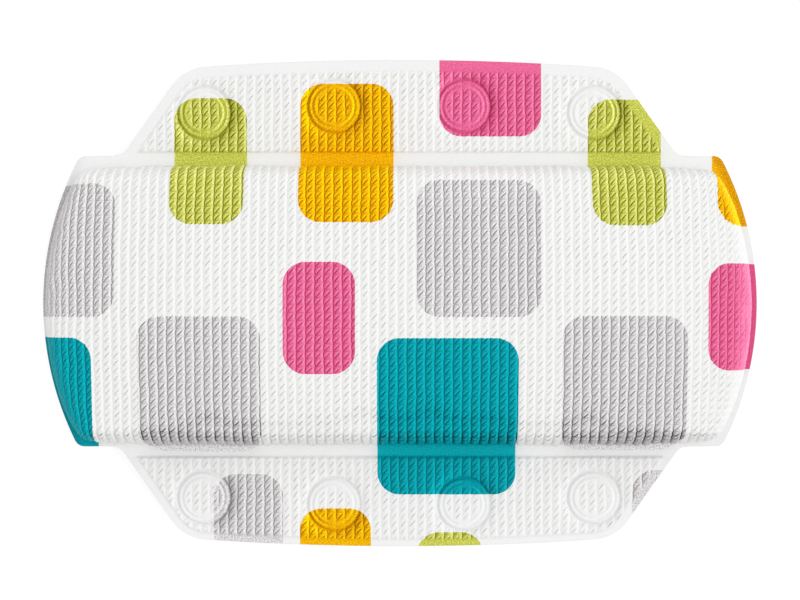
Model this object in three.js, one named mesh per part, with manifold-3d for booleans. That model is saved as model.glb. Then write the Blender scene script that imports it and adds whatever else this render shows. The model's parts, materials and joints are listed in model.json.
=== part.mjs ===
// Bath pillow: a foam pad in a welded soft PVC cover, with a fold-over flap along each long side.
// Each flap carries four suction cups on its underside. Units are millimetres, +Z is up.
// The pillow lies on its back: cup rims and the middle of the back rest on Z = 0.
import * as THREE from 'three';
import { mergeVertices } from 'three/addons/utils/BufferGeometryUtils.js';
import Module from 'manifold-3d';

const wasm = await Module();
wasm.setup();

// Driving dimensions: the pad
const padLength = 330; // tip to tip of the bowed ends
const endBow = 17; // rise of each bowed end over its corners
const pocketHeight = 128; // foam pocket between the two hinge bands
const longEdgeWeld = 4; // welded margin beyond the pocket on the long sides
const endWeld = 3; // welded margin beyond the pocket at the bowed ends
const padCorner = 5; // corner radius of the cut sheet
const pocketCorner = 8; // corner radius of the pocket at the weld
const cornerSoftening = 0.5; // growth of that radius per millimetre of inset
const wallHeight = 19; // steep side of the swollen front
const wallRun = 8; // plan width of that side
const wallFullness = 2.5; // exponent of its rounded section
const crownRise = 11; // gentle rise from the side to the middle of the front
const backPatchInset = 40; // from the weld to the flat middle of the back
const cutRaise = 1; // the cut outline lies this much above the weld pattern

// Driving dimensions: the sheets
const faceSheet = 2.2; // embossed foam sheet of the front
const backFilm = 0.8; // plain film of the back
const weldThickness = 1.8; // both sheets fused together
const clearance = 0.3; // between neighbouring pieces

// Driving dimensions: the flaps
const bandWidth = 6.7; // welded band that acts as the hinge
const flapReach = 45; // from the hinge line to the outer edge
const flapBaseWidth = 257.4; // along the hinge line
const flapSlant = 54.8; // degrees between the hinge line and the slanted sides
const flapBow = 3.6; // rise of the outer edge over its corners
const flapCorner = 20; // corner radius at the outer edge
const flapBorder = 3.7; // welded margin round the embossed field
const notchGap = 0.5; // between a flap's end and the pad's shoulder

// Driving dimensions: the suction cups
const cupsPerFlap = 4;
const cupInset = 38.7; // from an end of the flap's hinge line to the nearest cup, along the line
const cupRow = 21.4; // from the hinge line to the outer two cups
const cupRowStep = 3.1; // how much further out the inner two stand
const cupHeight = 11; // from the rim to the underside of the flap
const bellRadius = 17;
const bellDepth = 4.8; // hollow of the bell
const rimWidth = 1.6; // flat sealing ring
const rimThickness = 0.8;
const bellFlare = 1.5; // exponent of the bell's outer curve
const hollowFlare = 1.2; // exponent of the bell's hollow
const neckBall = 3; // radius of the rounded neck that the bell rocks on
const neckRadius = 4;
const neckStub = 0.5; // neck standing below the backing film
const headRadius = 11; // disc that the weld ring traps under the face sheet
const headThickness = 1.4;
const buttonSkin = 1.6; // face sheet over the disc, both ways
const buttonEdge = 1.2; // rounding of the raised button

// Mesh fineness
const wallSteps = 6;
const crownSteps = 4;
const innerWallSteps = 3;
const innerCrownSteps = 3;
const backSteps = 4;
const endArcSteps = 4;
const cornerSteps = 3;
const longEdgeSteps = 5;
const roundSteps = 20;
const noseSteps = 12;
const outlineSteps = 6;
const buttonSteps = 2;
const ballSteps = 2;
const bellSteps = 4;

// Levels and places worked out from the sizes above
const flapUnderside = cupHeight;
const weldTop = flapUnderside + weldThickness;
const hingeZ = flapUnderside + weldThickness / 2;
const hingeY = pocketHeight / 2 + bandWidth / 2;
const filmTop = flapUnderside + backFilm;
const faceUnderside = filmTop + clearance;
const fieldTop = faceUnderside + faceSheet;
const padTop = weldTop + wallHeight + crownRise;
const padHeight = pocketHeight + 2 * longEdgeWeld;
const endRadius = ((padHeight / 2) ** 2 + endBow ** 2) / (2 * endBow);
const endCentreX = padLength / 2 - endRadius;
const slant = THREE.MathUtils.degToRad(flapSlant);
const cupPitch = (flapBaseWidth - 2 * cupInset) / (cupsPerFlap - 1);

const coverMaterial = new THREE.MeshStandardMaterial({ color: 0xf1f1f0, roughness: 0.55, metalness: 0 });
const filmMaterial = new THREE.MeshStandardMaterial({ color: 0xe9e9e7, roughness: 0.4, metalness: 0 });
const foamMaterial = new THREE.MeshStandardMaterial({ color: 0xe8dfbf, roughness: 0.95, metalness: 0 });
const cupMaterial = new THREE.MeshStandardMaterial({ color: 0xdfe6e6, roughness: 0.15, metalness: 0 });

// A closed geometry as a solid that can be joined and cut.
function solidOf(geometry) {
  const bare = geometry.clone();
  bare.deleteAttribute('normal');
  bare.deleteAttribute('uv');
  const merged = mergeVertices(bare, 1e-4);
  const corners = merged.index.array;
  const kept = [];
  for (let i = 0; i < corners.length; i += 3) {
    const [a, b, c] = corners.slice(i, i + 3);
    if (a !== b && b !== c && c !== a) kept.push(a, b, c);
  }
  return new wasm.Manifold(
    new wasm.Mesh({
      numProp: 3,
      vertProperties: new Float32Array(merged.attributes.position.array),
      triVerts: new Uint32Array(kept),
    }),
  );
}

function geometryOf(solid) {
  const mesh = solid.getMesh();
  const geometry = new THREE.BufferGeometry();
  geometry.setAttribute('position', new THREE.BufferAttribute(new Float32Array(mesh.vertProperties), 3));
  geometry.setIndex(new THREE.BufferAttribute(new Uint32Array(mesh.triVerts), 1));
  geometry.computeVertexNormals();
  return geometry;
}

// A plate of the given outline between two levels.
function plate(outline, bottom, top) {
  const geometry = new THREE.ExtrudeGeometry(outline, {
    depth: top - bottom,
    bevelEnabled: false,
    curveSegments: outlineSteps,
  });
  return solidOf(geometry.translate(0, 0, bottom));
}

// A turned solid on a vertical axis: the profile is [radius, height] pairs, from the top of the axis
// down the outside to the bottom of the axis.
function turned(profile) {
  const points = profile.map(([radius, height]) => new THREE.Vector2(radius, height)).reverse();
  return solidOf(new THREE.LatheGeometry(points, roundSteps).rotateX(Math.PI / 2));
}

function block(x0, x1, y0, y1, z0, z1) {
  const geometry = new THREE.BoxGeometry(x1 - x0, y1 - y0, z1 - z0);
  return solidOf(geometry.translate((x0 + x1) / 2, (y0 + y1) / 2, (z0 + z1) / 2));
}

// The pad's plan: two straight long sides, two bowed ends and four rounded corners, as points that
// run anticlockwise from the right-hand tip. Every call gives the same number of points.
function loafOutline(half, arcRadius, corner) {
  const reach = Math.sqrt((arcRadius - corner) ** 2 - (half - corner) ** 2);
  const filletX = endCentreX + reach;
  const filletY = half - corner;
  const tangent = Math.atan2(filletY, reach);
  const quarter = [];
  for (let i = 0; i <= endArcSteps; i += 1) {
    const angle = (tangent * i) / endArcSteps;
    quarter.push([endCentreX + arcRadius * Math.cos(angle), arcRadius * Math.sin(angle)]);
  }
  for (let i = 1; i <= cornerSteps; i += 1) {
    const angle = THREE.MathUtils.lerp(tangent, Math.PI / 2, i / cornerSteps);
    quarter.push([filletX + corner * Math.cos(angle), filletY + corner * Math.sin(angle)]);
  }
  for (let i = 1; i <= longEdgeSteps; i += 1) quarter.push([filletX * (1 - i / longEdgeSteps), half]);
  const back = quarter.slice(0, -1).reverse();
  return [
    ...quarter,
    ...back.map(([x, y]) => [-x, y]),
    ...quarter.slice(1).map(([x, y]) => [-x, -y]),
    ...back.slice(0, -1).map(([x, y]) => [x, -y]),
  ];
}

// The pocket's plan, drawn in by an inset: it shrinks to a ridge line at half the pocket's height.
function pocketOutline(inset) {
  const half = Math.max(pocketHeight / 2 - inset, 0);
  const corner = Math.min(pocketCorner + cornerSoftening * inset, half);
  return loafOutline(half, endRadius - endWeld - inset, corner);
}

function pocketRing(inset, height) {
  return pocketOutline(inset).map(([x, y]) => [x, y, height]);
}

// A closed solid skinned over rings of points, from a ridge or fan inside to one on the outside.
function skinned(rings) {
  const count = rings[0].length;
  const corners = [];
  for (let ring = 0; ring < rings.length - 1; ring += 1) {
    for (let i = 0; i < count; i += 1) {
      const next = (i + 1) % count;
      const a = ring * count + i;
      const b = ring * count + next;
      corners.push(a, b, b + count, a, b + count, a + count);
    }
  }
  const geometry = new THREE.BufferGeometry();
  geometry.setAttribute('position', new THREE.Float32BufferAttribute(rings.flat(2), 3));
  geometry.setIndex(corners);
  return solidOf(geometry);
}

// The swollen front: a steep rounded side, then a gentle crown. The rings run from the foot to the ridge.
function frontRings(inset, foot, top, sideSteps, riseSteps) {
  const share = (top - foot) / (wallHeight + crownRise);
  const half = pocketHeight / 2;
  const run = half - inset;
  const crownAt = (depth) => crownRise * (1 - (1 - depth / run) ** 2);
  const rings = [];
  for (let i = 0; i <= sideSteps; i += 1) {
    const angle = (Math.PI / 2) * (i / sideSteps);
    const depth = wallRun * (1 - Math.cos(angle) ** (2 / wallFullness));
    const rise = wallHeight * Math.sin(angle) ** (2 / wallFullness);
    rings.push(pocketRing(inset + depth, foot + share * (rise + crownAt(depth))));
  }
  for (let i = 1; i <= riseSteps; i += 1) {
    const depth = THREE.MathUtils.lerp(wallRun, run, i / riseSteps);
    rings.push(pocketRing(inset + depth, foot + share * (wallHeight + crownAt(depth))));
  }
  return rings;
}

// The swollen back, from the ridge in its flat middle out to the rim. Offset lifts it off the outside.
function backRings(rim, offset) {
  const levelAt = (inset) => flapUnderside * (1 - Math.sin((Math.PI / 2) * (inset / backPatchInset)));
  const rings = [pocketRing(pocketHeight / 2, offset)];
  for (let i = backSteps; i >= 0; i -= 1) {
    const inset = THREE.MathUtils.lerp(rim, backPatchInset, i / backSteps);
    rings.push(pocketRing(inset, levelAt(inset) + offset));
  }
  return rings;
}

function shapeOf(points) {
  return new THREE.Shape(points.map(([x, y]) => new THREE.Vector2(x, y)));
}

// The flap's plan with its hinge line on Y = 0: slanted sides, rounded corners and a bowed outer edge.
function flapOutline(raise, inset, base) {
  const along = new THREE.Vector2(-Math.cos(slant), Math.sin(slant));
  const outward = new THREE.Vector2(Math.sin(slant), Math.cos(slant));
  const foot = new THREE.Vector2(flapBaseWidth / 2 + raise / Math.tan(slant), 0);
  const reach = flapReach + raise;
  const chord = foot.x - reach / Math.tan(slant);
  const bowRadius = (chord ** 2 + flapBow ** 2) / (2 * flapBow);
  const bowCentre = new THREE.Vector2(0, reach - bowRadius);
  // The corner circle touches the slanted side and the bowed edge from inside.
  const start = foot.clone().addScaledVector(outward, -flapCorner).sub(bowCentre);
  const middle = start.dot(along);
  const travel = Math.sqrt(middle ** 2 - start.lengthSq() + (bowRadius - flapCorner) ** 2) - middle;
  const corner = start.addScaledVector(along, travel).add(bowCentre);
  const cornerRadius = flapCorner - inset;
  const sideAngle = outward.angle();
  const bowAngle = corner.clone().sub(bowCentre).angle();
  const baseX = foot.x - inset / Math.sin(slant) - base / Math.tan(slant);
  const shape = new THREE.Shape();
  shape.moveTo(baseX, base);
  shape.lineTo(corner.x + cornerRadius * outward.x, corner.y + cornerRadius * outward.y);
  shape.absarc(corner.x, corner.y, cornerRadius, sideAngle, bowAngle, false);
  shape.absarc(bowCentre.x, bowCentre.y, bowRadius - inset, bowAngle, Math.PI - bowAngle, false);
  shape.absarc(-corner.x, corner.y, cornerRadius, Math.PI - bowAngle, Math.PI - sideAngle, false);
  shape.lineTo(-baseX, base);
  shape.closePath();
  return shape;
}

// The cups' centres from the middle of the hinge line, left to right: the outer two stand nearer to it.
function cupPlaces() {
  const last = cupsPerFlap - 1;
  return Array.from({ length: cupsPerFlap }, (_, index) => {
    const outer = index === 0 || index === last;
    return [(index - last / 2) * cupPitch, outer ? cupRow : cupRow + cupRowStep];
  });
}

function named(name, geometry, material) {
  const mesh = new THREE.Mesh(geometry, material);
  mesh.name = name;
  return mesh;
}

// Front cover: the swollen embossed sheet and the welded margin round it.
function frontCover() {
  const edge = loafOutline(padHeight / 2, endRadius, padCorner).map(([x, y]) => [x, y + cutRaise]);
  const bandEdge = hingeY - weldThickness / 2 - clearance;
  const beyond = pocketHeight;
  const notch = (raise) => flapBaseWidth / 2 + raise / Math.tan(slant) + notchGap;
  const upper = notch(cutRaise);
  const lower = notch(-cutRaise);
  const below = flapUnderside - weldThickness;
  const above = weldTop + weldThickness;
  const margin = plate(shapeOf(edge), flapUnderside, weldTop)
    .subtract(plate(shapeOf(pocketOutline(0)), below, above))
    .subtract(block(-upper, upper, bandEdge, beyond, below, above))
    .subtract(block(-lower, lower, -beyond, -bandEdge, below, above));
  const inside = frontRings(faceSheet, faceUnderside, padTop - faceSheet, innerWallSteps, innerCrownSteps);
  const footing = endWeld / 4;
  const shell = skinned([
    ...inside.reverse(),
    pocketRing(-footing, faceUnderside),
    pocketRing(-footing, weldTop),
    ...frontRings(0, weldTop, padTop, wallSteps, crownSteps),
  ]);
  return named('front_cover', geometryOf(margin.add(shell)), coverMaterial);
}

// Back cover: the plain film, swollen to a flat middle, with its rim under the foot of the front.
function backCover() {
  const film = [...backRings(clearance, 0), ...backRings(clearance, backFilm).reverse()];
  return named('back_cover', geometryOf(skinned(film)), filmMaterial);
}

// Foam core: fills the pocket between the two covers.
function foamCore() {
  const rim = faceSheet + clearance;
  const top = padTop - faceSheet - clearance;
  const core = [
    ...backRings(rim, backFilm + clearance),
    ...frontRings(rim, faceUnderside, top, innerWallSteps, innerCrownSteps),
  ];
  return named('foam_core', geometryOf(skinned(core)), foamMaterial);
}

// Flap face: the fused hinge band and border, the raised embossed field and a button over each cup.
function flapFace(side, raise) {
  const field = flapOutline(raise, flapBorder, bandWidth / 2);
  const noseLength = flapBaseWidth + (2 * raise) / Math.tan(slant);
  const nose = new THREE.CylinderGeometry(weldThickness / 2, weldThickness / 2, noseLength, noseSteps);
  nose.rotateZ(Math.PI / 2).translate(0, 0, hingeZ);
  const headTop = faceUnderside + headThickness;
  const pocketTop = headTop + clearance;
  const pocketRadius = headRadius + clearance;
  const buttonTop = pocketTop + buttonSkin;
  const buttonRadius = pocketRadius + buttonSkin;
  const rounding = [];
  for (let i = 0; i <= buttonSteps; i += 1) {
    const angle = (Math.PI / 2) * (1 - i / buttonSteps);
    rounding.push([
      buttonRadius - buttonEdge * (1 - Math.cos(angle)),
      buttonTop - buttonEdge * (1 - Math.sin(angle)),
    ]);
  }
  const button = turned([[0, buttonTop], ...rounding, [buttonRadius, faceUnderside], [0, faceUnderside]]);
  const below = flapUnderside - weldThickness;
  const headPocket = turned([[0, pocketTop], [pocketRadius, pocketTop], [pocketRadius, below], [0, below]]);
  let face = plate(flapOutline(raise, 0, 0), flapUnderside, weldTop)
    .add(solidOf(nose))
    .add(plate(field, faceUnderside, fieldTop));
  for (const [x, y] of cupPlaces()) face = face.add(button.translate([x, y, 0]));
  face = face.subtract(plate(field, below, faceUnderside));
  for (const [x, y] of cupPlaces()) face = face.subtract(headPocket.translate([x, y, 0]));
  return named(`${side}_flap_face`, geometryOf(face), coverMaterial);
}

// Flap backing: the plain film inside the welded border, with a hole for each cup's neck.
function flapBacking(side, raise) {
  const outline = flapOutline(raise, flapBorder + clearance, bandWidth / 2 + clearance);
  const radius = neckRadius + clearance;
  const below = flapUnderside - weldThickness;
  const hole = turned([[0, weldTop], [radius, weldTop], [radius, below], [0, below]]);
  let film = plate(outline, flapUnderside, filmTop);
  for (const [x, y] of cupPlaces()) film = film.subtract(hole.translate([x, y, 0]));
  return named(`${side}_flap_backing`, geometryOf(film), filmMaterial);
}

// Cup head: the disc under the face sheet and the neck that passes through the backing.
function cupHead() {
  const top = faceUnderside + headThickness;
  const bottom = flapUnderside - neckStub;
  return turned([
    [0, top],
    [headRadius, top],
    [headRadius, faceUnderside],
    [neckRadius, faceUnderside],
    [neckRadius, bottom],
    [0, bottom],
  ]);
}

// Cup bell: a ball-topped neck that flares to a thin sealing rim, hollow underneath.
function cupBell() {
  const pivotZ = flapUnderside - neckStub - clearance - neckBall;
  const ball = [[0, pivotZ + neckBall]];
  for (let i = 1; i <= ballSteps; i += 1) {
    const angle = (Math.PI / 2) * (1 - i / ballSteps);
    ball.push([neckBall * Math.cos(angle), pivotZ + neckBall * Math.sin(angle)]);
  }
  const flare = [];
  const hollow = [];
  const hollowRadius = bellRadius - rimWidth;
  for (let i = 1; i <= bellSteps; i += 1) {
    const share = i / bellSteps;
    const drop = (1 - share) ** bellFlare;
    flare.push([
      THREE.MathUtils.lerp(neckBall, bellRadius, share),
      rimThickness + (pivotZ - rimThickness) * drop,
    ]);
    hollow.push([hollowRadius * (1 - share), bellDepth * share ** hollowFlare]);
  }
  return turned([...ball, ...flare, [bellRadius, 0], [hollowRadius, 0], ...hollow]);
}

// One flap with its cups, built with the hinge line on Y = 0 and reaching towards +Y.
function flap(side, raise) {
  const group = new THREE.Group();
  group.add(flapFace(side, raise), flapBacking(side, raise));
  const head = geometryOf(cupHead());
  const bell = geometryOf(cupBell());
  cupPlaces().forEach(([x, y], index) => {
    const cup = new THREE.Group();
    cup.position.set(x, y, 0);
    cup.add(named(`${side}_cup_head_${index + 1}`, head, cupMaterial));
    cup.add(named(`${side}_cup_bell_${index + 1}`, bell, cupMaterial));
    group.add(cup);
  });
  return group;
}

const upperFlap = flap('upper', cutRaise);
upperFlap.position.set(0, hingeY, 0);
const lowerFlap = flap('lower', -cutRaise);
lowerFlap.scale.set(1, -1, 1);
lowerFlap.position.set(0, -hingeY, 0);

const weldPattern = new THREE.Group();
weldPattern.add(frontCover(), backCover(), foamCore(), upperFlap, lowerFlap);
weldPattern.position.set(0, -cutRaise, 0); // the cut outline is centred on the origin

const pillow = new THREE.Group();
pillow.add(weldPattern);

export default pillow;
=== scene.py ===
"""Bath pillow on its back, seen from straight above.

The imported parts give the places: the hinge lines, the cups and the levels. This script makes the soft pieces
that stand for them: the swollen pad in its knit-embossed cover, the two flaps with their weld rings, the
welded margins, the back film and the clear suction cups. Lengths are millimetres until they are written to a
mesh.
"""

import json
import logging
import math
from dataclasses import dataclass
from enum import Enum

import bpy
import numpy as np
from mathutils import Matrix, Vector


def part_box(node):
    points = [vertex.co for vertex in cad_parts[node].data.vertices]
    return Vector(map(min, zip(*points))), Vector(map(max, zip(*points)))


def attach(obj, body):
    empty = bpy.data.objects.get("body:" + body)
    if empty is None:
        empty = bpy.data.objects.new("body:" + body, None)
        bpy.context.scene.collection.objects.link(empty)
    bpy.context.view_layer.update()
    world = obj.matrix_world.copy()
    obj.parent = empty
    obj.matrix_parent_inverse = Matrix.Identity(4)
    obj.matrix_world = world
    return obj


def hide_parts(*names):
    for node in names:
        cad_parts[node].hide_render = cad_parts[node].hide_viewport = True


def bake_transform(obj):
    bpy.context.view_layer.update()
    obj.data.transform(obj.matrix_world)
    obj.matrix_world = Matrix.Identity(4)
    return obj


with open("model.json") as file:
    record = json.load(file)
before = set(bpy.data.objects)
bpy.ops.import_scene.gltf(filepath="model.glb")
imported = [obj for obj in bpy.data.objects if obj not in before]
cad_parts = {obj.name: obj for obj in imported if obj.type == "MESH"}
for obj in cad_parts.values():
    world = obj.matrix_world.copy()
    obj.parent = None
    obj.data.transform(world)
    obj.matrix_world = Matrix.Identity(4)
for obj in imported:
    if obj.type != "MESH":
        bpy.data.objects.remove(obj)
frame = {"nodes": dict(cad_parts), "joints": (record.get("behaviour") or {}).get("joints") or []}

log = logging.getLogger("bath_pillow")

MM = 0.001
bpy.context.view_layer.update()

# UV maps: the place in plan, which the print follows, and on the flat sheet, which the knit follows.
PLAN_MAP = "plan"
SHEET_MAP = "sheet"
# Values kept at the vertices: how strong the knit and its painted marks are, the painted shade, which is
# painted light where it is below 0, and which face is printed.
KNIT = "knit"
PAINTED_SHADE = "crease"
PRINTED = "printed"

# The usual numbers that scatter the column and the row of a stitch into an even chance.
SCATTER = (12.9898, 78.233, 43758.5453)
# Points of a spun piece that lie closer than this, in metres, are one point.
SAME_PLACE = 1e-6
# A ramp between two values in a material that is flat at both ends.
SOFT = {"interpolation_type": "SMOOTHSTEP"}

Array = np.ndarray
Pair = tuple[float, float]
Triple = tuple[float, float, float]
Object = bpy.types.Object
Material = bpy.types.Material
NodeTree = bpy.types.NodeTree
Node = bpy.types.Node
Socket = bpy.types.NodeSocket


class Side(Enum):
    """The two flaps, named for where they lie in the picture."""

    UPPER = 1
    LOWER = -1

    @property
    def word(self) -> str:
        """The name that the flap's parts carry."""
        return self.name.lower()


def linear(hex_colour: str) -> tuple[float, ...]:
    """Turns a colour as seen on a screen into light.

    Args:
        hex_colour: six sRGB hex digits.
    Returns:
        Linear red, green and blue, with full alpha.
    """
    channels = [int(hex_colour[i : i + 2], 16) / 255 for i in (0, 2, 4)]
    light = [c / 12.92 if c <= 0.04045 else ((c + 0.055) / 1.055) ** 2.4 for c in channels]
    return (*light, 1.0)


def add_node(tree: NodeTree, kind: str, inputs: dict | tuple = (), **settings: object) -> Node:
    """Adds one node with its settings, values and links.

    Args:
        tree: the node tree to add to.
        kind: the node's type without the ShaderNode prefix, or NodeGroupInput and the like in full.
        inputs: what the inputs take, in order or by name or number: values, sockets, or nodes, whose first
            output in use is linked.
        settings: properties of the node.
    Returns:
        The new node.
    """
    node = tree.nodes.new(kind if kind.startswith("Node") else f"ShaderNode{kind}")
    for name, value in settings.items():
        setattr(node, name, value)
    for key, value in inputs.items() if isinstance(inputs, dict) else enumerate(inputs):
        if isinstance(value, Node):
            value = next(output for output in value.outputs if output.enabled)
        if isinstance(value, Socket):
            tree.links.new(value, node.inputs[key])
        else:
            node.inputs[key].default_value = value
    return node


def start_material(name: str) -> tuple[Material, NodeTree]:
    """Starts a finish with no nodes in it.

    Args:
        name: the finish's name.
    Returns:
        The material and its node tree.
    """
    material = bpy.data.materials.new(name)
    material.use_nodes = True
    material.node_tree.nodes.clear()
    return material, material.node_tree


def place_in_plan(tree: NodeTree) -> Node:
    """Reads the place in plan on a piece, in millimetres."""
    plan = add_node(tree, "UVMap", uv_map=PLAN_MAP)
    return add_node(tree, "Mapping", {"Vector": plan, "Scale": (1 / MM,) * 3})


def lengths_along(path: Array) -> Array:
    """The distance along an open path to each of its points."""
    return np.concatenate([[0], np.cumsum(np.linalg.norm(np.diff(path, axis=0), axis=1))])


def spaced(path: Array, share: Array) -> Array:
    """Points at given shares of a path's length."""
    length = lengths_along(path)
    return np.column_stack([np.interp(share * length[-1], length, path[:, axis]) for axis in (0, 1)])


def arc(centre: Array | Pair, radius: float, angles: Array) -> Array:
    """Points of a circle in plan at given angles."""
    return np.asarray(centre) + radius * np.column_stack([np.cos(angles), np.sin(angles)])


def smooth_step(low: float, high: float, value: Array) -> Array:
    """An even ramp from 0 at low to 1 at high, flat at both ends."""
    share = np.clip((value - low) / (high - low), 0.0, 1.0)
    return share * share * (3 - 2 * share)


def mound(offset: Array, width: float) -> Array:
    """A smooth mound: 1 where the offset is 0, and next to nothing at twice the width."""
    return np.exp(-((offset / width) ** 2))


def read_points(obj: Object) -> Array:
    """Reads the vertices of a mesh.

    Args:
        obj: the piece.
    Returns:
        The points, in millimetres.
    """
    flat = np.zeros(len(obj.data.vertices) * 3, np.float32)
    obj.data.vertices.foreach_get("co", flat)
    return flat.reshape(-1, 3).astype(float) / MM


def write_points(obj: Object, points: Array) -> None:
    """Moves the vertices of a mesh to points given in millimetres."""
    obj.data.vertices.foreach_set("co", (points * MM).astype(np.float32).ravel())
    obj.data.update()


def read_normals(obj: Object) -> Array:
    """Reads the vertex normals of a mesh.

    Args:
        obj: the piece.
    Returns:
        The unit normals.
    """
    flat = np.zeros(len(obj.data.vertices) * 3, np.float32)
    obj.data.vertex_normals.foreach_get("vector", flat)
    return flat.reshape(-1, 3).astype(float)


def write_map(obj: Object, name: str, places: Array) -> None:
    """Keeps two lengths for each vertex, in metres, as a UV map.

    Args:
        obj: the piece.
        name: the map's name.
        places: the lengths in millimetres, in the first two columns.
    """
    loops = np.zeros(len(obj.data.loops), np.int32)
    obj.data.loops.foreach_get("vertex_index", loops)
    layer = obj.data.uv_layers.get(name) or obj.data.uv_layers.new(name=name)
    layer.data.foreach_set("uv", (places[loops, :2] * MM).astype(np.float32).ravel())


def write_value(obj: Object, name: str, value: Array | float) -> None:
    """Keeps one number for each vertex as an attribute.

    Args:
        obj: the piece.
        name: the attribute's name.
        value: a number for each vertex, or one for all of them.
    """
    attribute = obj.data.attributes.get(name) or obj.data.attributes.new(name, "FLOAT", "POINT")
    values = np.broadcast_to(np.asarray(value, np.float32), (len(obj.data.vertices),))
    attribute.data.foreach_set("value", np.ascontiguousarray(values))


def activate(obj: Object) -> None:
    """Makes a piece the only one selected.

    Args:
        obj: the piece.
    """
    bpy.ops.object.select_all(action="DESELECT")
    obj.select_set(True)
    bpy.context.view_layer.objects.active = obj


def add_grid(name: str, columns: int, rows: int) -> tuple[Object, Array, Array]:
    """Starts a sheet as a flat grid.

    Args:
        name: the piece's name.
        columns: faces along the sheet.
        rows: faces across the sheet.
    Returns:
        The piece, and where each vertex is along and across the sheet, from -1 to 1.
    """
    bpy.ops.object.select_all(action="DESELECT")
    bpy.ops.mesh.primitive_grid_add(x_subdivisions=columns, y_subdivisions=rows, size=2, calc_uvs=False)
    obj = bpy.context.object
    obj.name = name
    unit = read_points(obj) * MM
    return obj, unit[:, 0], unit[:, 1]


def modify(obj: Object, kind: str, **settings: object) -> None:
    """Adds a modifier with its settings and applies it.

    Args:
        obj: the piece.
        kind: the modifier's type.
        settings: properties of the modifier.
    """
    activate(obj)
    modifier = obj.modifiers.new(kind.title(), kind)
    for name, value in settings.items():
        setattr(modifier, name, value)
    bpy.ops.object.modifier_apply(modifier=modifier.name)


def cap_open_edge(obj: Object) -> None:
    """Closes a bowl-shaped sheet with one flat face over its rim.

    Args:
        obj: the sheet.
    """
    activate(obj)
    bpy.ops.object.mode_set(mode="EDIT")
    bpy.ops.mesh.select_mode(type="EDGE")
    bpy.ops.mesh.select_all(action="DESELECT")
    bpy.ops.mesh.select_non_manifold()
    bpy.ops.mesh.edge_face_add()
    bpy.ops.mesh.select_all(action="SELECT")
    bpy.ops.mesh.normals_make_consistent(inside=False)
    bpy.ops.object.mode_set(mode="OBJECT")


def finish_piece(obj: Object, material: Material) -> Object:
    """Shades a piece smooth and gives it its material.

    Args:
        obj: the piece.
        material: its finish.
    Returns:
        The same piece.
    """
    activate(obj)
    bpy.ops.object.shade_smooth()
    obj.data.materials.clear()
    obj.data.materials.append(material)
    log.info("%s: %d faces", obj.name, len(obj.data.polygons))
    return obj


@dataclass(frozen=True)
class PillowPlan:
    """The pillow's main places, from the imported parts, and the sizes of its weld pattern."""

    hinge_y: dict[Side, float]
    hinge_z: float
    half_length: float
    half_cut: float
    weld_bottom: float
    pad_top: float
    cups: dict[Side, list[Pair]]
    cup_radius: float
    band: float = 6.7
    end_bow: float = 17.0
    end_weld: float = 3.4
    cut_corner: float = 5.0
    lower_trim: float = 1.7
    weld_x: float = -0.7
    pocket_corner: float = 8.0
    wall_run: float = 8.0
    wall_rise: float = 19.0
    wall_fullness: float = 2.5
    back_run: float = 40.0

    @classmethod
    def from_frame(cls) -> "PillowPlan":
        """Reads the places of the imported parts.

        Returns:
            The plan.
        """
        joints = {joint["name"]: joint for joint in frame["joints"]}
        hinges = {side: joints[f"{side.word}_flap_fold"]["pos_m"] for side in Side}
        low, high = (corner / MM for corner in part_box("front_cover"))
        bell_low, bell_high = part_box("upper_cup_bell_1")
        cups: dict[Side, list[Pair]] = {side: [] for side in Side}
        for side in Side:
            bells = sorted(name for name in frame["nodes"] if name.startswith(f"{side.word}_cup_bell"))
            for name in bells:
                middle = sum(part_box(name), Vector()) / 2 / MM
                cups[side].append((middle.x, middle.y))
        return cls(
            hinge_y={side: hinges[side][1] / MM for side in Side},
            hinge_z=hinges[Side.UPPER][2] / MM,
            half_length=high.x,
            half_cut=high.y,
            weld_bottom=low.z,
            pad_top=high.z,
            cups=cups,
            cup_radius=(bell_high.x - bell_low.x) / 2 / MM,
        )

    @property
    def weld_y(self) -> float:
        """The middle of the weld pattern across the pillow, which the cut outline doesn't share."""
        return (self.hinge_y[Side.UPPER] + self.hinge_y[Side.LOWER]) / 2

    @property
    def pocket_half(self) -> float:
        """Half the height of the pocket in the weld pattern."""
        return (self.hinge_y[Side.UPPER] - self.hinge_y[Side.LOWER]) / 2 - self.band / 2

    @property
    def weld_top(self) -> float:
        """The level of the welded bands and margins."""
        return 2 * self.hinge_z - self.weld_bottom

    @property
    def end_radius(self) -> float:
        """The radius of the bowed ends of the cut."""
        return (self.half_cut**2 + self.end_bow**2) / (2 * self.end_bow)

    @property
    def end_centre(self) -> float:
        """Where the bowed end's arc is centred, along X."""
        return self.half_length - self.end_radius

    @property
    def pocket_radius(self) -> float:
        """The radius of the pocket's bowed ends."""
        return self.end_radius - self.end_weld

    @property
    def crown_rise(self) -> float:
        """How far the middle of the front stands over the top of its steep side."""
        return self.pad_top - self.weld_top - self.wall_rise

    def wing_half(self, side: Side) -> float:
        """How far the cut edges of the pad's ends lie from the middle of the cut, on one side."""
        return self.half_cut - (self.lower_trim if side is Side.LOWER else 0.0)

    def end_reach(self, across: Array) -> Array:
        """How far the pocket reaches along X at a distance from its middle line."""
        inside = np.clip(np.abs(across), 0, self.pocket_half)
        return self.end_centre + np.sqrt(self.pocket_radius**2 - inside**2)

    def insets(self, along: Array, across: Array) -> tuple[Array, Array]:
        """Distances in from the pocket's ends and from its long sides.

        Args:
            along: X of each point.
            across: Y of each point from the middle of the weld pattern.
        Returns:
            The distance from the nearer end and from the nearer long side.
        """
        past = np.clip(np.abs(along) - self.end_centre, 0, None)
        return self.pocket_radius - np.hypot(past, across), self.pocket_half - np.abs(across)


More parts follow.
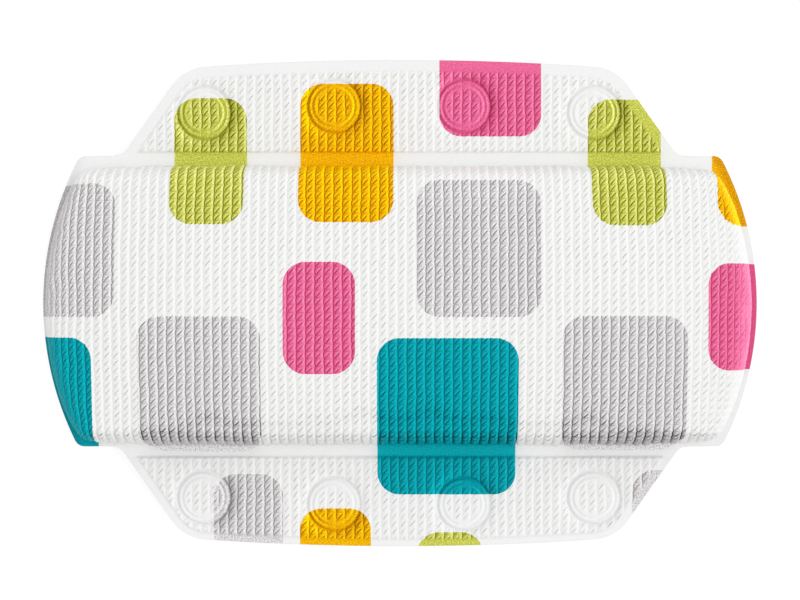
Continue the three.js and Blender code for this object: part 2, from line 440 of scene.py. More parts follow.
@dataclass(frozen=True)
class Sway:
    """An uneven wave over a sheet: its pace, and how far and at what pace its crests swing."""

    pace: float
    swing: float
    swing_pace: float

    def at(self, along: Array, across: Array) -> Array:
        """The wave, from -1 to 1, that runs along one distance and swings with the other."""
        return np.sin(along / self.pace + self.swing * np.sin(across / self.swing_pace))


@dataclass(frozen=True)
class KnitEmboss:
    """The pressed knit: ribs of stitches, each a leaf between a scalloped groove and a slanting nick."""

    column: float = 4.15
    row: float = 3.45
    depth: float = 0.9
    middle: float = 0.7
    lean: float = 1.12
    fullness: float = 2.8
    scallop: float = 0.34
    pinch: float = 0.36
    seam_width: float = 0.11
    seam_reach: Pair = (0.4, 0.75)
    nick_foot: Pair = (0.14, 0.06)
    nick_head: Pair = (0.72, 0.82)
    nick_depth: float = 0.22
    nick_width: float = 0.28
    nick_fade: Pair = (0.75, 1.1)
    nick_least: float = 0.6
    nick_range: float = 0.6
    lip: float = 0.1
    lip_shift: float = 1.7
    lip_width: float = 1.4
    unevenness: float = 0.14
    rib_wander: float = 0.11
    rib_sway: Sway = Sway(4.3, 2.2, 11.0)
    rib_tremble: Triple = (0.7, 1.9, 6.1)
    row_wander: float = 0.143
    row_sway: Sway = Sway(5.7, 1.9, 13.0)
    row_tremble: Triple = (0.6, 2.3, -7.7)

    @property
    def nick_middle(self) -> Pair:
        """The middle of the nick, in millimetres from the stitch's lower left."""
        across = (self.nick_foot[0] + self.nick_head[0]) / 2 * self.column
        return across, (self.nick_foot[1] + self.nick_head[1]) / 2 * self.row

    @property
    def nick_run(self) -> Pair:
        """Half the nick, as a step in millimetres from its middle to its head."""
        across = (self.nick_head[0] - self.nick_foot[0]) / 2 * self.column
        return across, (self.nick_head[1] - self.nick_foot[1]) / 2 * self.row

    def stray(self, along: Array, across: Array) -> tuple[Array, Array]:
        """Lets the ribs and rows stray a little from straight lines.

        Args:
            along: distance along the sheet, across the ribs.
            across: distance across the sheet, along the ribs.
        Returns:
            The distances in the pattern.
        """
        share, fast, slow = self.rib_tremble
        sideways = self.rib_sway.at(across, along) + share * np.sin(across / fast + along / slow)
        share, fast, slow = self.row_tremble
        upwards = self.row_sway.at(along, across) + share * np.sin(along / fast + across / slow)
        return along + self.rib_wander * sideways, across + self.row_wander * upwards

    def height(self, along: Array, across: Array) -> Array:
        """The emboss over the sheet.

        Args:
            along: distance along the pattern, across the ribs.
            across: distance across the pattern, along the ribs.
        Returns:
            Height over the sheet's middle level.
        """
        row = np.floor(across / self.row)
        up = across / self.row - row
        swayed = along / self.column + self.scallop / self.column * np.abs(np.sin(np.pi * up))
        column = np.floor(swayed)
        over = swayed - column
        chance = np.sin(column * SCATTER[0] + row * SCATTER[1]) * SCATTER[2]
        chance -= np.floor(chance)
        rib = 1 - np.abs(2 * over**self.lean - 1) ** self.fullness
        seam = mound(np.minimum(up, 1 - up), self.seam_width) * (1 - smooth_step(*self.seam_reach, over))
        rib *= (1 - self.pinch * seam) * (1 + self.unevenness * (chance - 0.5))
        right = over * self.column - self.nick_middle[0]
        above = up * self.row - self.nick_middle[1]
        run = np.array(self.nick_run)
        reach = np.hypot(*run)
        lengthways = np.abs(right * run[0] + above * run[1]) / reach
        aside = (above * run[0] - right * run[1]) / reach
        strength = self.nick_least + self.nick_range * chance
        window = strength * (1 - smooth_step(*self.nick_fade, lengthways / reach))
        nick = self.nick_depth * mound(aside, self.nick_width)
        lip = self.lip * mound(aside - self.lip_shift * self.nick_width, self.lip_width * self.nick_width)
        return self.depth * (rib - self.middle) + window * (lip - nick)


@dataclass
class PadCover:
    """The swollen front of the pad: one sheet over the foam, down to the weld all round it."""

    plan: PillowPlan
    emboss: KnitEmboss
    cell: float = 3.4
    refinements: int = 3
    samples: int = 6000
    foot: float = 1.6
    foot_drop: float = 0.9
    foot_run: float = 0.6
    end_wall: float = 16.0
    end_run: float = 22.0
    corner_power: float = 4.0
    slack_rise: float = 0.98
    end_draw: float = 1.5
    end_draw_from: float = 95.0
    frames: int = 20
    pressure: float = 4.0
    stiffness: float = 30.0
    bending: float = 3.0
    slack: float = 0.012
    held_rise: float = 0.5
    swell_cap: Pair = (-0.3, 0.9)
    seam_fade: Pair = (0.2, 1.6)
    end_turn: Pair = (0.45, 0.95)
    end_flattening: float = 0.45
    end_jumble: float = 0.7
    jumble_ribs: Sway = Sway(1.5, 1.6, 3.7)
    jumble_slant: float = 3.7 / 6.1
    jumble_rows: Sway = Sway(1.4, 1.3, 4.3)
    jumble_row_share: float = 0.6
    gather_turn: Pair = (0.15, 0.9)
    gather: float = 0.9
    # Painted shade and light on the pad's sides: how dark the lower wall is painted, how much its stitch marks
    # darken, how light the end walls facing right are painted, how dark those facing left, how much fainter
    # the marks are on the end walls, and how light the upper wall is painted.
    gather_shade: float = 0.8
    gather_marks: float = 1.05
    lit_ink: float = 1.3
    lit_faint: float = 0.5
    dim_ink: float = 0.4
    dim_faint: float = 0.25
    upper_turn: Pair = (0.1, 0.8)
    upper_light: float = 0.25

    def wall(self, steep: Array) -> Array:
        """The height of the steep side: all of it where steep is 0, and none where it is 1, at the weld."""
        fullness = self.plan.wall_fullness
        return self.plan.wall_rise * (1 - np.clip(steep, 0, 1) ** fullness) ** (1 / fullness)

    def crown(self, inset: Array) -> Array:
        """The share of the crown's rise at a distance in from one side."""
        return 1 - np.clip(1 - inset / self.plan.pocket_half, 0, 1) ** 2

    def side_profile(self, inset: Array, run: float) -> Array:
        """The height of the front over the weld, by the distance in from one side alone.

        Args:
            inset: the distance in from the weld.
            run: how far in the steep part reaches.
        Returns:
            The height over the weld's top.
        """
        sunk = np.clip(-inset / self.foot_run, 0, 1)
        return self.wall(1 - inset / run) + self.plan.crown_rise * self.crown(inset) - self.foot_drop * sunk

    def rise(self, along: Array, across: Array) -> Array:
        """The height of the front over the weld, with rounded corners.

        Args:
            along: X of each point.
            across: Y of each point from the middle of the weld pattern.
        Returns:
            The height over the weld's top, below it outside the pocket.
        """
        plan = self.plan
        ends, sides = plan.insets(along, across)
        runs = ((ends, self.end_wall), (sides, plan.wall_run))
        steep = sum(np.clip(1 - inset / run, 0, None) ** self.corner_power for inset, run in runs)
        steep = steep ** (1 / self.corner_power)
        sunk = np.clip((steep - 1) * plan.wall_run / self.foot_run, 0, 1)
        crown = plan.crown_rise * self.crown(ends) * self.crown(sides)
        return self.wall(steep) + crown - self.foot_drop * sunk

    def lay_out(self, along: Array, across: Array) -> tuple[Array, ...]:
        """Spreads a grid evenly over the swollen sheet.

        Args:
            along: where each point is along the sheet, from -1 to 1.
            across: where each point is across the sheet, from -1 to 1.
        Returns:
            X, Y from the middle of the weld pattern, and the distances along and across the sheet.
        """
        plan = self.plan
        inset = np.linspace(-self.foot, plan.pocket_half, self.samples)
        side, end = (
            lengths_along(np.column_stack([inset, self.side_profile(inset, run)]))
            for run in (plan.wall_run, self.end_wall)
        )
        sheet_across = across * side[-1]
        y = np.sign(across) * (plan.pocket_half - np.interp(side[-1] - np.abs(sheet_across), side, inset))
        run_length = np.interp(self.end_run, inset, end)
        straight = plan.end_reach(y) - self.end_run
        sheet_along = along * (straight + run_length)
        past = np.abs(sheet_along) - straight
        down = self.end_run - np.interp(run_length - np.clip(past, 0, None), end, inset)
        x = np.sign(along) * np.where(past > 0, straight + down, np.abs(sheet_along))
        return x, y, sheet_along, sheet_across

    def spread(self, along: Array, across: Array) -> tuple[Array, ...]:
        """Finds where the swollen sheet's points lie.

        Args:
            along: where each point is along the sheet, from -1 to 1.
            across: where each point is across the sheet, from -1 to 1.
        Returns:
            The points, and the distances along and across the sheet.
        """
        plan = self.plan
        x, y, sheet_along, sheet_across = self.lay_out(along, across)
        rise = self.rise(x, y)
        level = plan.weld_top + np.where(rise > 0, rise * self.slack_rise, rise)
        near_end = smooth_step(self.end_draw_from, plan.half_length, np.abs(x))
        drawn = self.end_draw / plan.pocket_half * near_end
        points = np.column_stack([x + plan.weld_x, y * (1 - drawn) + plan.weld_y, level])
        return points, sheet_along, sheet_across

    def swell(self, obj: Object) -> Array:
        """Lets the cover swell as cloth over the pressed foam, held at the weld.

        Args:
            obj: the cover's coarse sheet.
        Returns:
            How far each of its vertices moves.
        """
        before = read_points(obj)
        normals = read_normals(obj)
        held = before[:, 2] < self.plan.weld_top + self.held_rise
        group = obj.vertex_groups.new(name="weld")
        group.add([int(i) for i in np.flatnonzero(held)], 1.0, "REPLACE")
        activate(obj)
        cloth = obj.modifiers.new("Swell", "CLOTH")
        settings = cloth.settings
        settings.vertex_group_mass = group.name
        settings.use_pressure = True
        settings.uniform_pressure_force = self.pressure
        settings.tension_stiffness = self.stiffness
        settings.compression_stiffness = self.stiffness
        settings.bending_stiffness = self.bending
        settings.shrink_min = -self.slack
        settings.effector_weights.gravity = 0.0
        cloth.point_cache.frame_end = self.frames
        for step in range(1, self.frames + 1):
            bpy.context.scene.frame_set(step)
        bpy.ops.object.modifier_apply(modifier=cloth.name)
        bpy.context.scene.frame_set(1)
        obj.vertex_groups.clear()
        moved = ((read_points(obj) - before) * normals).sum(axis=1)
        log.info("the swell moves the cover from %.2f to %.2f mm", moved.min(), moved.max())
        return normals * np.clip(moved, *self.swell_cap)[:, None]

    def build(self, material: Material) -> Object:
        """Makes the front: a coarse sheet that swells as cloth, then the fine one with the knit.

        Args:
            material: the cover's finish.
        Returns:
            The finished piece, a closed form over the foam.
        """
        plan = self.plan
        columns = round(2 * plan.half_length / self.cell)
        rows = round(2 * (plan.pocket_half + plan.wall_rise) / self.cell)
        obj, along, across = add_grid("pad_cover", columns, rows)
        lie = obj.data.attributes.new("lie", "FLOAT_VECTOR", "POINT")
        unit = np.column_stack([along, across, np.zeros_like(along)])
        lie.data.foreach_set("vector", unit.astype(np.float32).ravel())
        write_points(obj, self.spread(along, across)[0])
        write_points(obj, self.swell(obj))
        levels = {"levels": self.refinements, "render_levels": self.refinements}
        modify(obj, "SUBSURF", boundary_smooth="PRESERVE_CORNERS", **levels)
        moved = read_points(obj)
        fine = np.zeros(moved.size, np.float32)
        obj.data.attributes["lie"].data.foreach_get("vector", fine)
        fine = np.clip(fine.reshape(-1, 3).astype(float), -1, 1)
        obj.data.attributes.remove(obj.data.attributes["lie"])
        points, sheet_along, sheet_across = self.spread(fine[:, 0], fine[:, 1])
        write_points(obj, points + moved)
        self.press_knit(obj, sheet_along, sheet_across)
        cap_open_edge(obj)
        return finish_piece(obj, material)

    def press_knit(self, obj: Object, along: Array, across: Array) -> None:
        """Presses the knit into the fine sheet, and keeps the plan for the print.

        Args:
            obj: the fine sheet.
            along: distance along the sheet of each vertex.
            across: distance across the sheet of each vertex.
        """
        points = read_points(obj)
        normals = read_normals(obj)
        facing = normals[:, 0]
        lit = facing > 0
        fade = smooth_step(*self.seam_fade, points[:, 2] - self.plan.weld_top)
        turned = smooth_step(*self.end_turn, np.abs(facing))
        facing_down = (1 - turned) * smooth_step(*self.gather_turn, -normals[:, 1])
        pattern = np.column_stack(self.emboss.stray(along, across))
        loose = self.end_jumble * turned
        pattern[:, 0] += loose * self.jumble_ribs.at(across, along + self.jumble_slant * across)
        pattern[:, 1] += self.jumble_row_share * loose * self.jumble_rows.at(along, across)
        write_map(obj, PLAN_MAP, points)
        write_map(obj, SHEET_MAP, pattern)
        knit = fade * (1 - self.end_flattening * turned)
        height = knit * (1 + self.gather * facing_down) * self.emboss.height(*pattern.T)
        write_points(obj, points + normals * height[:, None])
        # Painted light and shade: the stitch marks are fainter on the end walls and stronger on the lower
        # wall, which faces down. The lower wall and the end walls facing left are painted darker, and the end
        # walls facing right and the upper wall are painted lighter.
        faint = turned * np.where(lit, self.lit_faint, self.dim_faint)
        write_value(obj, KNIT, knit * (1 + self.gather_marks * facing_down) * (1 - faint))
        light = np.where(lit, self.lit_ink, self.dim_ink) * facing * turned
        light += self.upper_light * (1 - turned) * smooth_step(*self.upper_turn, normals[:, 1])
        write_value(obj, PAINTED_SHADE, fade * (self.gather_shade * facing_down - light))
        write_value(obj, PRINTED, 1.0)

    def dress(self, material: Material) -> Object:
        """Builds the piece and sets it on the pad.

        Args:
            material: the cover's finish.
        Returns:
            The finished piece.
        """
        obj = self.build(material)
        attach(obj, "pad")
        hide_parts("front_cover", "foam_core")
        return obj


@dataclass
class EndMargin:
    """The welded margin round one bowed end of the pad, from notch to notch: cover sheet over back film."""

    plan: PillowPlan
    hand: int
    tuck: float = 8.0
    notch_x: float = 127.5
    recess: float = 0.06
    cover_sheet: float = 1.15
    film: float = 0.5
    arc_steps: int = 60
    corner_steps: int = 8
    edge_steps: int = 8
    rows: int = 6
    edge_round: float = 0.4
    # Painted shade on the margin past the pocket's end.
    edge_ink: float = 0.6
    edge_ink_run: float = 1.5
    bow_share: float = 1.6

    @property
    def word(self) -> str:
        """The end's name in the picture."""
        return "right" if self.hand > 0 else "left"

    def half_path(self, half: float, radius: float, corner: float) -> Array:
        """A quarter of the margin's edge, from the middle of the bowed end to the notch.

        Args:
            half: half the outline's height.
            radius: the radius of the bowed end.
            corner: the radius of the corner.
        Returns:
            The points in plan.
        """
        centre = self.plan.end_centre
        reach = math.sqrt((radius - corner) ** 2 - (half - corner) ** 2)
        tangent = math.atan2(half - corner, reach)
        turn = np.linspace(tangent, math.pi / 2, self.corner_steps + 1)[1:]
        edge = np.linspace(centre + reach, self.notch_x, self.edge_steps + 1)[1:]
        return np.concatenate(
            [
                arc((centre, 0), radius, np.linspace(0, tangent, self.arc_steps)),
                arc((centre + reach, half - corner), corner, turn),
                np.column_stack([edge, np.full(len(edge), half)]),
            ]
        )

    def path(self, upper: float, lower: float, radius: float, corner: float) -> Array:
        """The whole edge of the margin, from the lower notch to the upper one.

        Args:
            upper: how far the edge lies above the middle line.
            lower: how far it lies below.
            radius: the radius of the bowed end.
            corner: the radius of the corners.
        Returns:
            The points in plan.
        """
        low = self.half_path(lower, radius, corner)[:0:-1] * (1, -1)
        return np.concatenate([low, self.half_path(upper, radius, corner)]) * (self.hand, 1)

    def edges(self) -> tuple[Array, Array]:
        """Finds the strip's two long edges.

        Returns:
            The outer edge, which is the cut, and the inner edge, which lies under the pad.
        """
        plan = self.plan
        upper, lower = (plan.wing_half(side) for side in Side)
        half = plan.pocket_half - self.tuck
        radius = plan.pocket_radius - self.tuck
        outer = self.path(upper, lower, plan.end_radius, plan.cut_corner)
        return outer, self.path(half + plan.weld_y, half - plan.weld_y, radius, plan.pocket_corner)

    def build(self, name: str, top: float, thickness: float) -> Object:
        """Makes one layer of the margin.

        Args:
            name: the piece's name.
            top: the level of its upper face.
            thickness: the thickness of the sheet.
        Returns:
            The piece, without its finish.
        """
        outer, inner = self.edges()
        obj, along, across = add_grid(name, len(outer) - 1, self.rows)
        step = np.rint((along + 1) / 2 * (len(outer) - 1)).astype(int)
        share = ((across + 1) / 2)[:, None]
        places = inner[step] * (1 - share) + outer[step] * share
        write_points(obj, np.column_stack([places, np.full(len(places), top)]))
        if read_normals(obj)[:, 2].mean() < 0:
            obj.data.flip_normals()
        modify(obj, "SOLIDIFY", thickness=thickness * MM, offset=-1)
        modify(obj, "BEVEL", width=self.edge_round * thickness * MM, segments=2, limit_method="ANGLE")
        points = read_points(obj)
        ends, _ = self.plan.insets(*(points[:, :2] - (self.plan.weld_x, self.plan.weld_y)).T)
        write_map(obj, PLAN_MAP, points)
        write_map(obj, SHEET_MAP, points)
        write_value(obj, KNIT, 0.0)
        # Painted shade: the margin is drawn darker from just outside the pocket's end outwards.
        write_value(obj, PAINTED_SHADE, self.edge_ink * smooth_step(0, self.edge_ink_run, -ends))
        write_value(obj, PRINTED, points[:, 2] > top - thickness / 2)
        return obj

    def dress(self, cover: Material, film: Material) -> list[Object]:
        """Builds both layers and sets them on the pad.

        Args:
            cover: the cover sheet's finish.
            film: the back film's finish.
        Returns:
            The two pieces.
        """
        plan = self.plan
        front = self.build(f"{self.word}_margin", plan.weld_top - self.recess, self.cover_sheet)
        finish_piece(front, cover)
        back = self.build(f"{self.word}_margin_film", plan.weld_bottom + self.recess + self.film, self.film)
        finish_piece(back, film)
        outer, inner = self.edges()
        for obj in (front, back):
            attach(obj, "pad")
        return [front, back]


@dataclass
class Flap:
    """One fold-over flap: the embossed face with its weld rings, and the plain film behind it."""

    plan: PillowPlan
    side: Side
    emboss: KnitEmboss
    slant: float = 54.8
    base_half: float = 128.7
    reach: float = 45.0
    bow: float = 3.6
    corner: float = 20.0
    border: float = 3.7
    notch_round: float = 7.0
    tuck: float = 1.5
    turn_steps: int = 14
    bow_steps: int = 60
    bend_share: float = 0.8
    field_rise: float = 1.5
    field_ramp: Pair = (-0.2, 1.4)
    band_ramp: Pair = (-0.1, 0.6)
    band_fade: float = 0.4
    ring_groove: float = 12.2
    ring_width: float = 0.8
    ring_floor: float = 0.1
    ring_wall: float = 1.0
    ring_brim: float = 2.5
    brim_drop: float = 0.2
    bead: float = 11.0
    bead_rise: float = 1.8
    inner_groove: float = 9.8
    inner_rise: float = 1.35
    button: float = 8.7
    button_rise: float = 2.05
    dish: float = 7.8
    dish_rise: float = 1.8
    dish_fade: Pair = (-0.9, 0.5)
    dish_calm: float = 0.25
    pressed_knit: float = 0.2
    # Painted light and shade round the rings: slopes that face left are painted darker and slopes that face
    # right lighter, the ring's groove darker, and a broad painted halo outside the ring.
    flank_ink: float = 1.5
    flank_probe: float = 0.2
    groove_ink: float = 0.4
    halo: float = 0.5
    halo_off: float = 2.6
    halo_width: float = 2.2
    feather: float = 3.0
    feather_drop: float = 0.3
    feather_fade: Pair = (-1.0, 0.5)
    face_cell: float = 0.56
    film_cell: float = 1.6
    sheet: float = 1.2
    film: float = 0.5
    film_puff: float = 0.5
    film_ramp: Pair = (-0.5, 4.0)
    film_groove: float = 1.04

    @property
    def hinge(self) -> float:
        """Y of the hinge line."""
        return self.plan.hinge_y[self.side]

    @property
    def cut_lead(self) -> float:
        """How far the cut lies outside the weld pattern on this side."""
        return -self.plan.weld_y * self.side.value

    @property
    def shoulder(self) -> float:
        """How far out from the hinge line the notch meets the cut edge of the pad's end."""
        return self.plan.wing_half(self.side) - abs(self.hinge)

    @property
    def field_lead(self) -> float:
        """How far the field's welded edge runs over the band."""
        return 0.8 if self.side is Side.LOWER else 0.2

    @property
    def weld_light(self) -> float:
        """How much painted light the welded band by the pad gets."""
        return 0.5 if self.side is Side.LOWER else 0.08

    def cut_corner(self, raised: float) -> tuple[Array, Array, float, float]:
        """The circles that round the outline's right-hand corner and bow its outer edge.

        Args:
            raised: how far the outline lies outside the weld pattern.
        Returns:
            The corner's centre, the foot of the slanted side, the bow's radius and the bow's centre height.
        """
        slant = math.radians(self.slant)
        foot = np.array([self.base_half + raised / math.tan(slant), 0.0])
        reach = self.reach + raised
        chord = foot[0] - reach / math.tan(slant)
        bow_radius = (chord**2 + self.bow**2) / (2 * self.bow)
        bow_y = reach - bow_radius
        along = np.array([-math.cos(slant), math.sin(slant)])
        outward = np.array([math.sin(slant), math.cos(slant)])
        start = foot - self.corner * outward - (0, bow_y)
        middle = start @ along
        travel = math.sqrt(middle**2 - start @ start + (bow_radius - self.corner) ** 2) - middle
        return start + travel * along + (0, bow_y), foot, bow_radius, bow_y

    def edges(self) -> tuple[Array, Array]:
        """The right-hand side and the outer edge of the cut, from the hinge line outwards.

        Returns:
            The side from under the pad to the middle of the corner, and the outer edge from left to right.
        """
        slant = math.radians(self.slant)
        outward = np.array([math.sin(slant), math.cos(slant)])
        centre, foot, bow_radius, bow_y = self.cut_corner(self.cut_lead)
        notch_y = self.shoulder + self.notch_round
        notch = np.array([foot[0] + (self.notch_round - notch_y * outward[1]) / outward[0], notch_y])
        bow_angle = math.atan2(centre[1] - bow_y, centre[0])
        side_angle = math.atan2(outward[1], outward[0])
        half_turn = (side_angle + bow_angle) / 2
        notch_turn = np.linspace(-math.pi / 2, side_angle - math.pi, self.turn_steps)
        side = np.concatenate(
            [
                [[notch[0], -self.plan.band / 2 - self.tuck]],
                arc(notch, self.notch_round, notch_turn),
                arc(centre, self.corner, np.linspace(side_angle, half_turn, self.turn_steps)),
            ]
        )
        right = np.concatenate(
            [
                arc(centre, self.corner, np.linspace(half_turn, bow_angle, self.turn_steps)),
                arc((0, bow_y), bow_radius, np.linspace(bow_angle, math.pi / 2, self.bow_steps)[1:]),
            ]
        )
        return side, np.concatenate([right * (-1, 1), right[-2::-1]])

    def lay_out(self, along: Array, across: Array) -> Array:
        """Fills the cut outline with a grid.

        Args:
            along: where each point is along the flap, from -1 to 1.
            across: where each point is across it, from -1 under the pad to 1 at the outer edge.
        Returns:
            X and the distance out from the hinge line of each point.
        """
        side, outer = self.edges()
        u = ((along + 1) / 2)[:, None]
        v = ((across + 1) / 2)[:, None]
        base = side[0] * np.column_stack([along, np.ones_like(along)])
        right = spaced(side, v[:, 0])
        left = right * (-1, 1)
        top = spaced(outer, u[:, 0])
        corners = (1 - v) * ((1 - u) * side[0] * (-1, 1) + u * side[0])
        corners += v * ((1 - u) * side[-1] * (-1, 1) + u * side[-1])
        return (1 - v) * base + v * top + (1 - u) * left + u * right - corners

    def border_inset(self, places: Array) -> Array:
        """Measures how far each point lies inside the welded border along the cut.

        Args:
            places: X and the distance out from the hinge line of each point.
        Returns:
            The distance in from the border's inner edge, less than 0 on the border.
        """
        slant = math.radians(self.slant)
        centre, foot, bow_radius, bow_y = self.cut_corner(0.0)
        x = np.abs(places[:, 0])
        y = places[:, 1]
        side = (foot[0] - x) * math.sin(slant) - y * math.cos(slant)
        edge = bow_radius - np.hypot(x, y - bow_y)
        past_x = x - centre[0]
        past_y = y - centre[1]
        angle = np.arctan2(past_y, past_x)
        in_corner = (angle > math.pi / 2 - slant) & (angle < math.atan2(centre[1] - bow_y, centre[0]))
        rounded = self.corner - np.hypot(past_x, past_y)
        return np.where(in_corner, rounded, np.minimum(side, edge)) - self.border

    def band_inset(self, places: Array) -> Array:
        """How far out each point lies from the welded band."""
        return places[:, 1] - self.plan.band / 2 + self.field_lead

    def ring_place(self, places: Array) -> tuple[Array, Array]:
        """Where each point lies round the nearest cup.

        Args:
            places: X and the distance out from the hinge line of each point.
        Returns:
            The distance from the cup's middle, and how far of that is to the right, from -1 to 1.
        """
        cups = [(x, (y - self.hinge) * self.side.value) for x, y in self.plan.cups[self.side]]
        off = np.array([places - (x + self.plan.weld_x, y) for x, y in cups])
        away = np.hypot(off[..., 0], off[..., 1])
        nearest = away.argmin(axis=0), np.arange(len(places))
        return away[nearest], off[nearest][:, 0] / np.maximum(away[nearest], 0.1)

    def ring_level(self, out: Array) -> Array:
        """Finds the height of the field round a cup.

        Args:
            out: the distance of each point from the cup's middle.
        Returns:
            The height over the weld.
        """
        steps = (
            (self.dish, self.dish_rise),
            (self.button, self.button_rise),
            (self.inner_groove, self.inner_rise),
            (self.bead, self.bead_rise),
            (self.ring_groove, self.ring_floor),
            (self.ring_groove + self.ring_wall, self.field_rise - self.brim_drop),
            (self.ring_groove + self.ring_brim, self.field_rise),
        )
        return np.interp(out, *np.transpose(steps))

    def feathered(self, places: Array) -> Array:
        """Measures how near each point lies to the thin ends of the hinge band.

        Args:
            places: X and the distance out from the hinge line of each point.
        Returns:
            A share from 0 to 1.
        """
        tip = np.abs(places[:, 0]).max()
        end = smooth_step(tip - self.feather, tip, np.abs(places[:, 0]))
        return end * (1 - smooth_step(*self.feather_fade, places[:, 1] - self.shoulder))

    def frame_y(self, places: Array) -> Array:
        """Y of points given by their distance out from the hinge line."""
        return self.hinge + places[:, 1] * self.side.value

    def start_sheet(self, name: str, cell: float) -> tuple[Object, Array]:
        """Starts one of the flap's sheets as a grid that fills the cut outline.

        Args:
            name: the piece's name.
            cell: the size of a face.
        Returns:
            The piece, and X and the distance out from the hinge line of its vertices.
        """
        side, _ = self.edges()
        columns = round(2 * side[0][0] / cell)
        rows = round((self.reach + self.plan.band) / cell)
        obj, along, across = add_grid(name, columns, rows)
        return obj, self.lay_out(along, across)

    def place(self, obj: Object, places: Array, level: Array) -> None:
        """Moves a sheet's vertices from the hinge line's own plan to the frame, face up.

        Args:
            obj: the sheet.
            places: X and the distance out from the hinge line of each vertex.
            level: Z of each vertex.
        """
        write_points(obj, np.column_stack([places[:, 0], self.frame_y(places), level]))
        if self.side is Side.LOWER:
            obj.data.flip_normals()

    def build_face(self, material: Material) -> Object:
        """Makes the embossed face.

        Args:
            material: the cover's finish.
        Returns:
            The finished piece.
        """
        obj, places = self.start_sheet(f"{self.side.word}_flap_cover", self.face_cell)
        out, rightward = self.ring_place(places)
        field = smooth_step(*self.field_ramp, self.border_inset(places))
        field *= smooth_step(*self.band_ramp, self.band_inset(places))
        groove = mound(out - self.ring_groove, self.ring_width)
        dish = 1 - smooth_step(*self.dish_fade, out - self.dish)
        inside = np.where(out < self.ring_groove, np.maximum(dish, self.pressed_knit), 1)
        knit = field * (1 - (1 - self.pressed_knit) * groove) * inside
        pattern = np.column_stack(self.emboss.stray(places[:, 0], self.frame_y(places)))
        relief = knit * self.emboss.height(*pattern.T) * (1 - self.dish_calm * dish)
        level = self.plan.weld_top + field * self.ring_level(out) + relief
        self.place(obj, places, level - self.feather_drop * self.feathered(places))
        # Painted light and shade round the rings: slopes facing left are darkened, slopes facing right
        # lightened, a broad halo outside the ring is painted the same way, and the groove is darkened. The
        # welded band by the pad is painted lighter.
        climb = self.ring_level(out + self.flank_probe) - self.ring_level(out - self.flank_probe)
        climb = np.clip(self.flank_ink * climb / (2 * self.flank_probe), -1, 1)
        halo = self.halo * mound(out - self.ring_groove - self.halo_off, self.halo_width)
        band = smooth_step(-self.band_fade, self.band_fade, -self.band_inset(places))
        ink = field * ((climb + halo) * rightward + self.groove_ink * groove)
        write_map(obj, PLAN_MAP, read_points(obj))
        write_map(obj, SHEET_MAP, pattern)
        write_value(obj, KNIT, knit)
        write_value(obj, PAINTED_SHADE, ink - self.weld_light * band)
        modify(obj, "SOLIDIFY", thickness=self.sheet * MM, offset=-1)
        write_value(obj, PRINTED, np.arange(len(obj.data.vertices)) < len(places))
        return finish_piece(obj, material)

    def build_film(self, material: Material) -> Object:
        """Makes the plain film behind the flap.

        Args:
            material: the film's finish.
        Returns:
            The finished piece.
        """
        obj, places = self.start_sheet(f"{self.side.word}_flap_film", self.film_cell)
        inset = np.minimum(self.border_inset(places), self.band_inset(places))
        out, _ = self.ring_place(places)
        puff = smooth_step(*self.film_ramp, inset) * (1 - mound(out - self.ring_groove, self.film_groove))
        self.place(obj, places, self.plan.weld_bottom + self.film - self.film_puff * puff)
        modify(obj, "SOLIDIFY", thickness=self.film * MM, offset=-1)
        write_map(obj, PLAN_MAP, read_points(obj))
        return finish_piece(obj, material)

    def dress(self, cover: Material, film: Material) -> list[Object]:
        """Builds the flap's sheets and hides the imported flap parts.

        Args:
            cover: the face's finish.
            film: the backing's finish.
        Returns:
            The two pieces.
        """
        word = self.side.word
        face = self.build_face(cover)
        back = self.build_film(film)
        side, outer = self.edges()
        for obj in (face, back):
            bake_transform(obj)
        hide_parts(f"{word}_flap_face")
        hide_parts(f"{word}_flap_backing")
        return [face, back]


